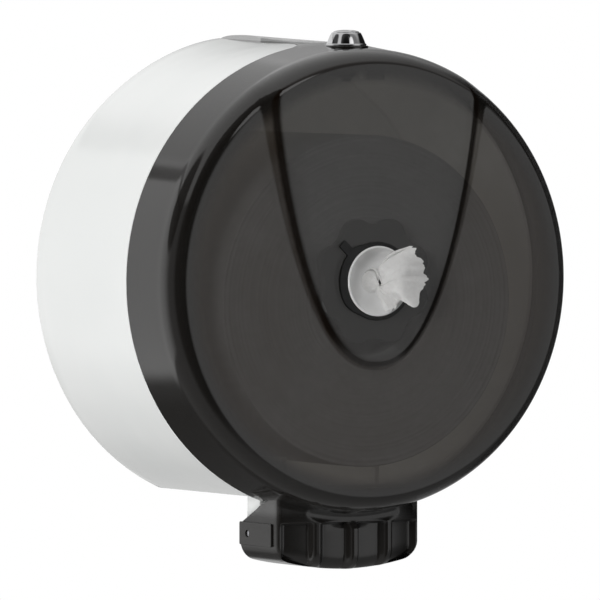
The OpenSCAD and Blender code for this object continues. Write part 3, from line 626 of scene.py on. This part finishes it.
def grip_block():
    """Hollow grip below the cover: bowed front with four finger recesses, open behind."""
    outline, normal = block_plan()
    wall, floor = block_skin(outline, normal, 0, 0, True)
    inner, inner_floor = block_skin(outline, normal, COVER_WALL, COVER_WALL + FINGER_DEPTH, False)
    edge = np.concatenate([wall[:, 0], floor[-1, 1:-1], wall[::-1, -1]])
    inner_edge = np.concatenate([inner[:, 0], inner_floor[-1, 1:-1], inner[::-1, -1]])
    patches = [wall[::-1], inner, floor[::-1], inner_floor,
               strip(inner[0], wall[0])[::-1], strip(inner_edge, edge)]
    smoke_piece("grip_block", patches)


def hinge_ears():
    """Raised plates round the hinge holes on the block's sides."""
    back, front = BLOCK_BACK - SEAM, BLOCK_BACK - SEAM - EAR_LEN
    low, high = HINGE[2] - EAR_HALF, HINGE[2] + EAR_HALF
    outline = fillet([(front, low), (back, low), (back, high), (front, high)], [1.2] * 4, 6)
    outline = np.concatenate([np.linspace(a, b, 9)[:-1] for a, b in zip(outline, np.roll(outline, -1, 0))])
    right = plate(outline, HINGE[1:], PIN_R + 0.05, BLOCK_HW - 0.02, BLOCK_HW + EAR_H, 0.4, "x")
    smoke_piece("hinge_ear_right", [right])
    smoke_piece("hinge_ear_left", [mirrored(right)])


# ---- Housing ----

HOUSING_WALL, BACK_T, HOUSING_BACK_R = 2.6, 3, 131.8
LIP_D, LIP_WALL = 5, 1.9
LIP_R = DRUM_R - COVER_WALL - 0.6 - (DRUM_R - BAND_R) * LIP_D / BAND_D
CHANNEL_R, CHANNEL_T, CHANNEL_GAP = DRUM_R - TONGUE_SINK - 0.7, 2.6, 0.7
SCREW_X, SCREW_Z = 75, 60
SCREW_HOLE_R, SCREW_PAD_R, SCREW_PAD_H = 2.75, 9, 2
RAIL_X, RAIL_T = 28.5, 3
LUG_X, LUG_T, LUG_R = 38, 4.6, 7.5
CATCH_X, CATCH_T, CATCH_BOTTOM, CATCH_H, CATCH_REACH = 17.5, 3, 111.35, 6.5, 8
HUMP, HUMP_RUN, HUMP_SPREAD = 2.5, 60, 0.7
LUG_LEAN = 1  # of a lug's rear edge, clear of the opened block
SIDE_POINT, LOW_POINT = 52, 104  # of a section: where z = 0, and x = 0 below


def housing_loop(radius, flat, half, floor, hump):
    """Closed section of the housing: the tongue's channel, of half width half and floor
    radius floor, the drum's arc down to a rounded corner, and the flat underside. Beside
    the channel the arc rises by hump."""
    side, corner = math.asin(half / radius), 1.4
    low = math.acos(-flat / radius) - corner / radius
    middle = math.asin(half / floor) * np.linspace(0, 1, 14)
    arc = np.r_[np.linspace(side, QUARTER, 39), np.linspace(QUARTER, low, 36)[1:]]
    channel = floor * columns(np.sin(middle), np.cos(middle))
    rise = hump * (1 + np.cos(math.pi * np.minimum(arc / HUMP_SPREAD, 1))) / 2
    drum = (radius + rise)[:, None] * columns(np.sin(arc), np.cos(arc))
    tip = np.array([over(radius, flat), -flat])
    end = tip - [corner, 0]
    t = np.linspace(0, 1, 7)[1:, None]
    bend = bezier(drum[-1], tip, end, t)
    under = end * columns(np.linspace(1, 0, 12)[1:], 1)
    right = np.concatenate([channel, drum, bend, under])
    return np.concatenate([right, right[-2::-1] * [-1, 1]])


def back_plate(inner, outer):
    """The back plate in four quarters, each one grid: from the quarter's outline inside
    through its raised screw hole to its outline on the wall side."""
    share = np.linspace(1, 0, 20)[1:, None]
    pad, hole, top = SCREW_PAD_R, SCREW_HOLE_R, BACK_T + SCREW_PAD_H
    rings = [(pad + 1.4, BACK_T), (pad + 0.6, BACK_T), (pad + 0.1, BACK_T + 0.5),
             (pad, top - 0.5), (pad - 0.5, top), (pad - 1, top), (hole + 0.8, top),
             (hole + 0.3, top), (hole, top - 0.3), (hole, 0.3), (hole + 0.3, 0),
             (hole + 1, 0)]
    ends = [0, SIDE_POINT, LOW_POINT, 2 * LOW_POINT - SIDE_POINT, 2 * LOW_POINT]
    patches = []
    for k, (sx, sz) in enumerate([(1, 1), (1, -1), (-1, -1), (-1, 1)]):
        centre = np.array([sx * SCREW_X, sz * SCREW_Z])
        lines = []
        for loop in (inner, outer):
            rim = loop[ends[k]:ends[k + 1] + 1]
            lines.append(np.concatenate([rim, rim[-1] * share, rim[0] * (1 - share)]))
        aim = unit(lines[0] - centre)
        braces = [centre + (line - centre) * 0.985 for line in lines]
        plans = [lines[0], braces[0]] + [centre + aim * r for r, _ in rings] + [braces[1], lines[1]]
        depths = [BACK_T, BACK_T] + [d for _, d in rings] + [0, 0]
        patches.append(np.stack([placed(*p.T, d, "y") for p, d in zip(plans, depths)])[::-1])
    return patches


def housing_shell():
    """White drum, open at the front: wall with the tongue's channel, lip and back plate."""
    rows = []

    def row(depth, radius, flat, half, floor, hump=0.0):
        """Adds one section at a depth."""
        loop = housing_loop(radius, flat, half, floor, hump)
        rows.append(placed(*loop.T, depth, "y"))
        return loop

    def outside(depth, inset=0.0):
        """Adds one section of the outer wall, set in by inset."""
        radius = HOUSING_BACK_R + (DRUM_R - HOUSING_BACK_R) * depth / SEAM - inset
        half = float(tongue_half(depth)) + CHANNEL_GAP + inset
        hump = HUMP * max(1 - depth / HUMP_RUN, 0) ** 2
        return row(depth, radius, FLAT_DROP - inset, half, CHANNEL_R - inset, hump)

    soft = 0.45
    bend = np.linspace(0, QUARTER, 5)
    outer_loop = outside(0, soft)
    for a in bend[1:]:
        outside(soft * (1 - math.cos(a)), soft * (1 - math.sin(a)))
    for depth in np.r_[np.linspace(0, HUMP_RUN, 8)[1:], np.linspace(HUMP_RUN, SEAM - TONGUE_FLARE, 5)[1:]]:
        outside(depth)
    for a in np.linspace(0, QUARTER, 15)[1:-2]:
        outside(SEAM - TONGUE_FLARE * (1 - math.sin(a)))
    for a in bend[::-1]:
        outside(SEAM - soft * (1 - math.cos(a)), soft * (1 - math.sin(a)))
    lip_flat, lip_end, ease = FLAT_DROP - (DRUM_R - LIP_R), SEAM + LIP_D, 0.5
    for depth, inset in [(SEAM, 0), (lip_end - ease, 0), (lip_end, ease), (lip_end, LIP_WALL - ease),
                         (lip_end - ease, LIP_WALL), (SEAM - 2, LIP_WALL)]:
        row(depth, LIP_R - inset, lip_flat - inset, TONGUE_HW, LIP_R - inset)
    inside_r, inside_flat, rib = DRUM_R - HOUSING_WALL, FLAT_DROP - HOUSING_WALL, CHANNEL_R - CHANNEL_T
    for depth in (SEAM - 2, SEAM / 2, BACK_T + 1):
        row(depth, inside_r, inside_flat, TONGUE_ROOT, rib)
    inner_loop = row(BACK_T, inside_r - 1, inside_flat - 1, TONGUE_ROOT, rib - 1)
    patches = [np.stack(rows)[::-1]] + back_plate(inner_loop, outer_loop)
    white_piece("housing_shell", patches)


def boxed(low, high, soft):
    """Box with rounded edges between two corners."""
    (x0, y0, z0), (x1, y1, z1) = low, high
    outline = fillet([(y0, z0), (y1, z0), (y1, z1), (y0, z1)], [soft * 1.5] * 4, 4)
    return plate(outline, np.array([(y0 + y1) / 2, (z0 + z1) / 2]), None, x0, x1, soft, "x")


def roll_rails():
    """Two rails on the housing's floor that carry the roll."""
    floor = HOUSING_WALL - FLAT_DROP
    top = ROLL_Z - 0.3 - over(ROLL_R, RAIL_X)
    right = boxed((RAIL_X, -SEAM + 1, floor - 1), (RAIL_X + RAIL_T, -2, top), 0.8)
    white_piece("roll_rails", [right, mirrored(right)])


def hinge_lugs():
    """Lugs below the housing, round at their ends, with holes for the hinge pins."""
    bottom = HINGE[1:] + polar(LUG_R, np.linspace(math.pi, TURN, 41))
    top = 1 - FLAT_DROP
    rear, front = (HINGE[1] + LUG_R - LUG_LEAN, top), (HINGE[1] - LUG_R, top)
    straight = [np.linspace(bottom[-1], rear, 10)[1:], np.linspace(rear, front, 12)[1:],
                np.linspace(front, bottom[0], 10)[1:-1]]
    outline = np.concatenate([bottom] + straight)
    right = plate(outline, HINGE[1:], PIN_R, LUG_X, LUG_X + LUG_T, 0.5, "x")
    white_piece("hinge_lugs", [right, mirrored(right)])


def lock_catch():
    """Hook inside the lip, behind which the lock's cam turns."""
    x0, x1 = CATCH_X, CATCH_X + CATCH_T
    hook = LOCK[1] - 4.9
    tip = hook - CATCH_T
    outline = fillet([(x0 - CATCH_REACH, tip), (x1, tip), (x1, -SEAM), (x0, -SEAM), (x0, hook),
                      (x0 - CATCH_REACH, hook)], [0.6] * 6, 3)
    elbow = np.array([x0 + CATCH_T / 2, hook - CATCH_T / 2])
    arm = plate(outline, elbow, None, CATCH_BOTTOM, CATCH_BOTTOM + CATCH_H, 0.4, "z")
    top = over(LIP_R - LIP_WALL / 2, x1)
    white_piece("lock_catch", [arm, boxed((x0, -SEAM - LIP_D, CATCH_BOTTOM), (x1, -SEAM, top), 0.4)])


def hinge_pins():
    """Steel pins with rounded ends, sunk a little in the ears."""
    end = BLOCK_HW + EAR_H - 0.8
    start, soft = end - 11.5, 0.5
    right = spin([(0, start), (PIN_R - soft, start), (PIN_R, start + soft), (PIN_R, end - soft),
                  (PIN_R - soft, end), (0, end)], 48, "x", (0, *HINGE[1:]))
    piece("hinge_pin_r", [right], "housing", "zinc_steel", "hinge_pin_right")
    piece("hinge_pin_l", [mirrored(right)], "housing", "zinc_steel", "hinge_pin_left")


# ---- Nozzle ----

NOZZLE_R, NOZZLE_RIM_R, NOZZLE_RIM_D, NOZZLE_REAR_D = 18.3, 19.6, 52, 28
NOZZLE_TIP_R, THROAT_R, THROAT_D = 9, 5.5, 43
COLLAR_R, COLLAR_T, TAB_R, TAB_HALF, TAB_TURN = 24.5, 0.9, 31.5, 2.5, 137
COLLAR_SLIM, COLLAR_WIDE_AT = 2.6, TAB_TURN + 36  # narrower by the first, away from the second
NUT_R, NUT_BACK, LOBE_R, LOBE_COUNT = 32.0, 41.5, 9, 8
SEAM_AT = (0, -SEAM, 0)


def feed_nozzle():
    """White funnel: rolled rim, a bowl that steepens into the round outlet, and a
    tapering rear end."""
    inner = NOZZLE_R - 0.1
    bowl_r = np.linspace(inner, THROAT_R + 0.9, 22)[1:]
    drop = np.sin(np.linspace(0, QUARTER, 22)[1:]) ** 0.8
    bowl_d = NOZZLE_RIM_D - (NOZZLE_RIM_D - THROAT_D - 1) * drop
    seat, panel_back = PANEL_D + COLLAR_T, PANEL_D - COVER_WALL
    rim = [(NOZZLE_R, seat), (NOZZLE_RIM_R - 0.2, seat), (NOZZLE_RIM_R, seat + 0.2)]
    bend = np.linspace(0, math.pi, 11)
    middle, half = (NOZZLE_RIM_R + inner) / 2, (NOZZLE_RIM_R - inner) / 2
    rim += list(columns(middle + half * np.cos(bend), NOZZLE_RIM_D - half + half * np.sin(bend)))
    bowl = list(columns(bowl_r, bowl_d - 0.3))
    end = [(THROAT_R + 0.3, THROAT_D + 0.2), (THROAT_R, THROAT_D - 0.5),
           (THROAT_R, NOZZLE_REAR_D + 0.4), (THROAT_R + 0.4, NOZZLE_REAR_D),
           (NOZZLE_TIP_R - 0.4, NOZZLE_REAR_D), (NOZZLE_TIP_R + 0.1, NOZZLE_REAR_D + 0.5),
           (NOZZLE_R, NUT_BACK), (NOZZLE_R, panel_back), (NOZZLE_R, seat)]
    piece("nozzle", [spin(rim + bowl + end, 128, "y", SEAM_AT)], "cover", "nozzle_white",
          "feed_nozzle", sharp=50)


def nozzle_collar():
    """Black ring in front of the panel, under the nozzle's rim, with one tab."""
    def rim_at(angle):
        """The ring's radius at an angle."""
        away = np.abs(wrapped(angle - math.radians(COLLAR_WIDE_AT)))
        return COLLAR_R - COLLAR_SLIM * np.clip(away / 0.5 - 1.2, 0, 1) ** 1.5

    way, half = math.radians(TAB_TURN), math.asin(TAB_HALF / COLLAR_R)
    root = rim_at(way) * math.cos(half)
    corners = np.array([(root, -TAB_HALF), (TAB_R, -TAB_HALF), (TAB_R, TAB_HALF), (root, TAB_HALF)])
    corners = corners @ np.array([[math.cos(way), math.sin(way)], [-math.sin(way), math.cos(way)]])
    turn = np.linspace(way + half, way + TURN - half, 120)[2:-2]
    arc = polar(1, turn) * rim_at(turn)[:, None]
    rounds = [1, 0.8, 0.8, 1] + [0] * len(arc)
    outline = fillet(np.concatenate([corners, arc]), rounds)
    ring = plate(outline, np.zeros(2), NOZZLE_HOLE_R, PANEL_D, PANEL_D + COLLAR_T, 0.25, "y", SEAM_AT)
    piece("collar", [ring], "cover", "black_plastic", "nozzle_collar")


def ring_nut():
    """Scalloped ring nut: a circle joined with eight lobes, its valleys eased."""
    angle = circle(320)[:-1]
    off = (angle * LOBE_COUNT / TURN % 1 - 0.5) * TURN / LOBE_COUNT
    centre = NUT_R - LOBE_R / 2
    lobe = centre * np.cos(off) + over(LOBE_R, centre * np.sin(off))
    lobe = np.where(centre * np.abs(np.sin(off)) < LOBE_R, lobe, 0)
    blend = 24  # the higher, the sharper the valleys
    radius = np.minimum((NUT_R ** blend + lobe ** blend) ** (1 / blend), centre + LOBE_R)
    front = PANEL_D - COVER_WALL - 0.05
    ring = plate(polar(radius, angle), np.zeros(2), NOZZLE_HOLE_R, NUT_BACK, front, 0.8, "y", SEAM_AT)
    piece("ring_nut", [ring], "cover", "grey_plastic", "nozzle_nut")


# ---- Paper ----

def tissue_roll():
    """Wound roll: both faces show the edges of its turns, each set a little higher or
    lower than the next, and the outside is slightly soft at its corners."""
    rng = np.random.default_rng(5)
    radius = np.linspace(ROLL_HOLE_R + 0.6, ROLL_R - 1.2, 90)
    wave = np.convolve(rng.normal(0, 1, 96), np.ones(7) / 7, "valid")
    offset = 0.35 * wave + 0.10 * rng.normal(0, 1, 90)
    back, front = ROLL_BACK, ROLL_BACK + ROLL_W
    bend = np.linspace(0, QUARTER, 5)[1:-1]
    soft = 1.2
    outside = [(ROLL_R, back + soft), (ROLL_R, front - soft)]
    corner = columns(ROLL_R - soft * (1 - np.cos(bend)), soft * (1 - np.sin(bend)))
    face = columns(radius[::-1], front - 0.4 + offset[::-1])
    under = columns(radius, back + 0.4 + offset)
    bore = [(ROLL_HOLE_R, front - 1.5), (ROLL_HOLE_R, back + 1.5)]
    section = np.concatenate([outside, corner * [1, -1] + [0, front], face, bore, under,
                              corner[::-1] + [0, back], outside[:1]])
    patches = [spin(section, 240, "y", (0, 0, ROLL_Z))]
    piece("roll", patches, "housing", "tissue", "tissue_roll", sharp=60)


def between(a, b, c, d, t):
    """Catmull-Rom curve from b to c, with a before and d after, at t from 0 to 1."""
    return 0.5 * (2 * b + (c - a) * t + (2 * a - 5 * b + 4 * c - d) * t ** 2
                  + (3 * b - a - 3 * c + d) * t ** 3)


def smooth_line(points, n):
    """n points along a smooth curve through the given ones, evenly spaced between
    neighbours."""
    points = np.array(points, float)
    padded = np.concatenate([2 * points[:1] - points[1:2], points, 2 * points[-1:] - points[-2:-1]])
    where = np.linspace(0, len(points) - 1, n)
    k = np.minimum(where.astype(int), len(points) - 2)
    return between(*(padded[k + j] for j in range(4)), (where - k)[:, None])


def zigzag(x):
    """Triangle wave from -1 to 1 with the period of a sine."""
    return np.arcsin(np.sin(x)) / QUARTER


PLEATS, ACROSS = 24, 385  # of a sheet, and points across it
STRAND_R, MOUTH_START, MOUTH_END, PLY = 5.2, 28.5, 43, 0.14


def gathered_ring(turns, depth, start):
    """Plan of a sheet gathered into a strand: a spiral of so many turns, in pleats of
    the given depth, that tightens towards its inner end."""
    s = np.linspace(0, 1, ACROSS)
    fold = zigzag(TURN * PLEATS * s)
    r = STRAND_R * (1 - 0.45 * s ** 4) + depth * (fold - 1) / 2 * (1 - 0.3 * s)
    return polar(r, start - TURN * turns * s)


def sheet_piece(name, rows, body, node):
    """Thin gathered sheet from rows of points along its length."""
    obj = piece(name, [rows], body, "tissue", node, sharp=180)
    ply = obj.modifiers.new("ply", "SOLIDIFY")
    ply.thickness, ply.offset = PLY * MM, 0


def inner_strand():
    """Paper on its way from the roll's innermost turn to the nozzle, gathered in pleats
    that open where it leaves the turn."""
    steps = 60
    tip = SEAM + NOZZLE_REAR_D - 0.3
    path = smooth_line([(0, 0, 0), (0, -6, -0.5), (0, -13, -4), (0, -20, -12), (0, -28, -24),
                        (0, -36, -33), (0, -44, -36.5)], steps)
    t = np.linspace(0, 1, steps)
    along = unit(np.gradient(path, axis=0))
    ring = gathered_ring(1.7, 2.7, 1.4)
    lift = columns(0, along[:, 2], -along[:, 1])[:, None]
    wide = 1 + 0.5 * t[:, None, None] ** 2
    flat = 1 - 0.72 * t[:, None, None] ** 2
    centre = (path * [1, -1, 1] - [0, tip, 0])[:, None]
    rows = centre + ring[:, :1] * wide * [1, 0, 0] + ring[:, 1:] * flat * lift
    sheet_piece("paper_strand", rows, "housing", "inner_strand")


TAIL_NEAR = [
    (4.3, -154.5, -3.4), (5.3, -155, 1.1), (2.8, -156, 5.6), (-1, -157, 6.2), (0.7, -158.5, 6.3),
    (2.4, -160, 3.5), (2.8, -160.5, 0.2), (3, -160, -2.1), (3.3, -158.5, -4.9), (2.2, -157, -5.5),
    (1.2, -156.5, -6), (0.5, -155.5, -7.2), (-0.8, -154.5, -5.5)]
TAIL_FOLD = [
    (7.2, -158.5, -3.9), (10.1, -160, 3.9), (7, -161, 9.6), (2.5, -162, 13.6), (8.8, -164.5, 15.2),
    (10.2, -166.5, 9.7), (9.2, -167, 4.7), (8.6, -167, -0.3), (7.5, -165.5, -6.4), (5.7, -162, -7.6),
    (4.4, -161, -8.7), (1.8, -160, -10.9), (-0.6, -157.5, -9.3)]
TAIL_EDGE = [
    (14, -162, -7), (18, -163.5, 3), (14.5, -164, 14), (11.6, -166.5, 18.9), (15.4, -168.5, 18.5),
    (21.2, -167.5, 10.1), (23.4, -167, 4.5), (24.1, -167, -1.7), (15.8, -168, -13.7), (9.8, -165, -10.9),
    (6.6, -165, -12.5), (2.7, -165, -16.4), (-0.1, -161, -14.2)]


def tissue_tail():
    """Torn end of the paper: pleated in the outlet, it opens into a crumpled flag whose
    edge folds back on both sides. Rows run out along the paper, columns across it."""
    rng = np.random.default_rng(11)
    throat, free = 20, 60
    s = np.linspace(0, 1, ACROSS)

    def at(depth, pleat):
        """The gathered sheet's section at a depth, with pleats so deep."""
        return placed(*gathered_ring(1.15, pleat, 1.9).T, SEAM + depth, "y")

    near, fold, edge = (smooth_line(line, ACROSS) for line in (TAIL_NEAR, TAIL_FOLD, TAIL_EDGE))
    rows = [at(MOUTH_START + (MOUTH_END - MOUTH_START) * k, (2.8 - 2.4 * k ** 12))
            for k in np.linspace(0, 1, throat)]
    mouth = rows[-1]
    cap = mouth * [1.5, 1, 1.5] + [0, -0.5, 0]
    ahead = cap * [0.5, 1, 0.7] + [3, -1.6, 0]
    stations = np.array([0, 0.05, 0.14, 0.36, 0.64, 1])
    lines = np.stack([mouth, mouth, cap, ahead, near, fold, edge, edge])
    for t in np.linspace(0, 1, free)[1:]:
        k = min(int(np.searchsorted(stations, t)) - 1, len(stations) - 2)
        u = (t - stations[k]) / (stations[k + 1] - stations[k])
        rows.append(between(*lines[k:k + 4], u))
    rows = np.stack(rows)
    t = np.r_[np.zeros(throat), np.linspace(0, 1, free)[1:]][:, None]
    crease = 0
    for pleats, size in ((4, 0.6), (7, 0.34), (11, 0.18), (19, 0.1)):
        phase, slant = rng.uniform(0, 6.28), rng.uniform(-2.5, 2.5)
        crease = crease + size * zigzag(TURN * pleats * s + phase + slant * t)
    crossing = 0.35 * zigzag(7 * t + 5 * s + 1) + 0.15 * zigzag(15 * t - 9 * s)
    normal = np.cross(np.gradient(rows, axis=0), np.gradient(rows, axis=1))
    normal = normal / np.maximum(np.linalg.norm(normal, axis=-1), 1e-12)[..., None]
    rows = rows + normal * ((crease + crossing) * np.clip(t * 2.2, 0, 1) * (1 - 0.35 * t))[..., None]
    torn = np.cumsum(rng.normal(0, 1, ACROSS))
    torn = torn - np.convolve(torn, np.ones(41) / 41, "same")
    torn = np.convolve(torn, np.ones(3) / 3, "same") / 2.2
    step = unit(rows[-1] - rows[-5])
    at_edge = np.clip((t - 0.75) / 0.25, 0, 1) ** 2
    rows = rows + step * np.clip(torn, -1.6, 1.3)[:, None] * at_edge[..., None]
    sheet_piece("paper_tail", rows, "cover", "tissue_tail")


# ---- Lock ----

def lock_body():
    """Chromed cam lock: flange, slightly domed cone, recessed top and threaded barrel."""
    bore, recess, barrel = 4.58, 7.48, 6
    head, low, pitch = 7.3, -13.5, 1
    t = np.linspace(0, 1, 9)
    cone = columns(10.8 - 2.0 * t - 0.4 * t ** 3, 1.2 + 5.6 * t)
    rim = [(8.1, head - 0.12), (7.9, head), (recess + 0.1, head),
           (recess, head - 0.15), (recess, head - 1), (bore, head - 1), (bore, low)]
    turns = np.arange(low + 0.5, -5, pitch / 2)
    thread = [(barrel - (0.35 if k % 2 else 0), h) for k, h in enumerate(turns)]
    flange = [(barrel, -4.6), (barrel, 0), (11.2, 0), (11.4, 0.2), (11.4, 0.8), (11.1, 1.15)]
    start = [(barrel - 0.4, low)]
    turned = spin(start + thread + flange + list(cone) + rim + start, 96, "z", LOCK)
    piece("lock_case", [turned], "cover", "chrome", "lock_body")


def dressed(node, name, body="lock_core", slot="zinc_steel"):
    """A finer copy of a small machined part: its triangles are merged into faces, and
    its edges get a small bevel."""
    source = frame["nodes"][node]
    mesh = source.data.copy()
    mesh.name = name
    mesh.materials.clear()
    work = bmesh.new()
    work.from_mesh(mesh)
    bmesh.ops.remove_doubles(work, verts=work.verts, dist=1e-6)
    bmesh.ops.dissolve_limit(work, angle_limit=math.radians(0.5), verts=work.verts, edges=work.edges)
    work.to_mesh(mesh)
    work.free()
    obj = finish_mesh(name, mesh, body, slot, node)
    bevel = obj.modifiers.new("edges", "BEVEL")
    bevel.width, bevel.segments, bevel.limit_method = 0.15 * MM, 2, "ANGLE"
    bevel.angle_limit = math.radians(35)


cover_shell()
cover_sill()
lock_seat()
grip_block()
hinge_ears()
housing_shell()
roll_rails()
hinge_lugs()
lock_catch()
hinge_pins()
feed_nozzle()
nozzle_collar()
ring_nut()
tissue_roll()
inner_strand()
tissue_tail()
lock_body()
for part in [
        ("lock_washer", "seat_washer", "cover"), ("lock_nut", "clamp_nut", "cover"),
        ("lock_plug", "key_plug", "lock_core", "chrome"),
        ("lock_wafers", "wafer_stack", "lock_core", "brass"),
        ("wafer_springs", "leaf_springs"), ("lock_retainer", "plug_clip"),
        ("lock_cam", "cam_arm", "lock_core", "black_plastic"), ("cam_washer", "screw_washer"),
        ("cam_screw", "cam_bolt")]:
    dressed(*part)


# ---- View, light and floor ----

def world_light():
    """Soft studio, white for the camera. Gloss sees a broad box at the left and back, one
    above with a dark gap between them, a dim card at the front right, a small bright one
    for the lock, and black flags where the cover's edges look."""
    world = bpy.data.worlds.new("studio")
    bpy.context.scene.world = world
    world.use_nodes = True
    m = Maker(world.node_tree)
    direction = m.node("ShaderNodeTexCoord", output="Generated")
    x, y, z = (m.node("ShaderNodeSeparateXYZ", {}, {"Vector": direction}, output=axis) for axis in "XYZ")

    def towards(way, edge, inner, level):
        """Round patch of a level about a direction, from the cosine edge to the cosine inner."""
        facing = m.node("ShaderNodeVectorMath", {"operation": "DOT_PRODUCT"},
                        {0: direction, 1: Vector(way).normalized()}, output="Value")
        return facing.ramp(edge, inner, 0, level)

    gap = z.ramp(0.42, 0.44) * z.ramp(0.47, 0.49, 1, 0) * x.ramp(-0.1, 0.1, 0.9, 0)
    side_box = x.ramp(0.2, 0.65, 1, 0.1) * y.ramp(0.1, 0.6) * z.ramp(-0.48, -0.42)
    side_box = side_box * z.ramp(0.46, 0.52, 1, 0) * (1 - gap)
    top_box = z.ramp(0.45, 0.52) * x.ramp(0.3, 0.9, 1, 0.35) * y.ramp(-0.6, -0.3)
    level = 0.18 + 0.55 * side_box + 0.4 * top_box + towards((0.5, -0.866, 0.05), 0.86, 0.95, 0.3)
    for flag in [((1, 0.1, 0), 0.72, 0.86, 0.95), ((-0.38, -0.66, 0.62), 0.86, 0.9, 0.9),
                 ((-0.5, -0.866, 0), 0.6, 0.85, 0.9), ((0, 0.8, -0.6), 0.86, 0.97, 0.7),
                 ((-0.8, 0.3, 0.47), 0.93, 0.96, 0.9)]:
        level = level * (1 - towards(*flag))
    level = level + towards((0.11, -0.81, 0.57), 0.975, 0.985, 0.9)
    seen = (m.node("ShaderNodeLightPath", output="Is Camera Ray")
            + m.node("ShaderNodeLightPath", output="Is Transmission Ray"))
    strength = m.node("ShaderNodeMix", {"data_type": "FLOAT"}, {"Factor": seen, 2: level, 3: 1.0})
    light = m.node("ShaderNodeBackground", {}, {"Color": (1, 1, 1, 1), "Strength": strength})
    m.node("ShaderNodeOutputWorld", {}, {"Surface": light})


FLOOR_R, FLOOR_Z, FLOOR_SIDES = 500, -350, 64
FADE_FROM, FADE_TO = 200, 480


def pale_floor():
    """Pale round floor below the object, thinning out towards its edge."""
    def fading(m):
        """Solid near the middle, clear at the edge."""
        x, y = m.coordinate("X"), m.coordinate("Y")
        return {"Alpha": (x * x + y * y).ramp(FADE_FROM ** 2, FADE_TO ** 2, 1, 0)}

    disc = placed(*(FLOOR_R * polar(1, circle(FLOOR_SIDES)[:-1])).T, FLOOR_Z, "z")
    mesh = bpy.data.meshes.new("floor")
    mesh.from_pydata((disc * MM).tolist(), [], [list(range(FLOOR_SIDES))])
    floor = linked("floor", mesh)
    sockets = {"Base Color": (0.85, 0.85, 0.84, 1), "Roughness": 0.6}
    mesh.materials.append(finish("pale_floor", fading, sockets))
    floor.visible_glossy = floor.visible_diffuse = floor.visible_shadow = False


def soft_lamp(name, place, size, watts):
    """Large soft lamp on the object, which leaves no reflection on its gloss."""
    data = bpy.data.lights.new(name, "AREA")
    data.shape, data.size, data.energy = "DISK", size, watts
    lamp = linked(name, data)
    lamp.location = place
    away = Vector(place) - Vector((0, -0.1, 0))
    lamp.rotation_euler = away.to_track_quat("Z", "Y").to_euler()
    lamp.visible_glossy = False


def aim_camera():
    """A long lens from the left of the front, a little above the object."""
    azimuth, elevation, distance = math.radians(-30), math.radians(2.144), 6.0
    target = Vector((-20.75, -104.53, -11.77)) * MM
    back = Vector((math.sin(azimuth) * math.cos(elevation), -math.cos(azimuth) * math.cos(elevation),
                   math.sin(elevation)))
    data = bpy.data.cameras.new("camera")
    data.sensor_width, data.lens, data.clip_end = 36, 643.9, 40
    camera = linked("camera", data)
    camera.location = target + distance * back
    camera.rotation_euler = back.to_track_quat("Z", "Y").to_euler()
    bpy.context.scene.camera = camera


world_light()
pale_floor()
soft_lamp("key", (-2.0, -1.7, 0.6), 1.0, 32)
soft_lamp("side", (-2.4, 0.5, 0.2), 1.2, 2)
soft_lamp("top", (-0.6, 0.6, 2.2), 1.2, 28)
soft_lamp("bounce", (-1.3, 0.1, -1.9), 1.2, 32)
soft_lamp("fill", (2.2, -0.4, 0.8), 1.0, 10)
aim_camera()
bpy.context.scene.view_settings.view_transform = "Standard"
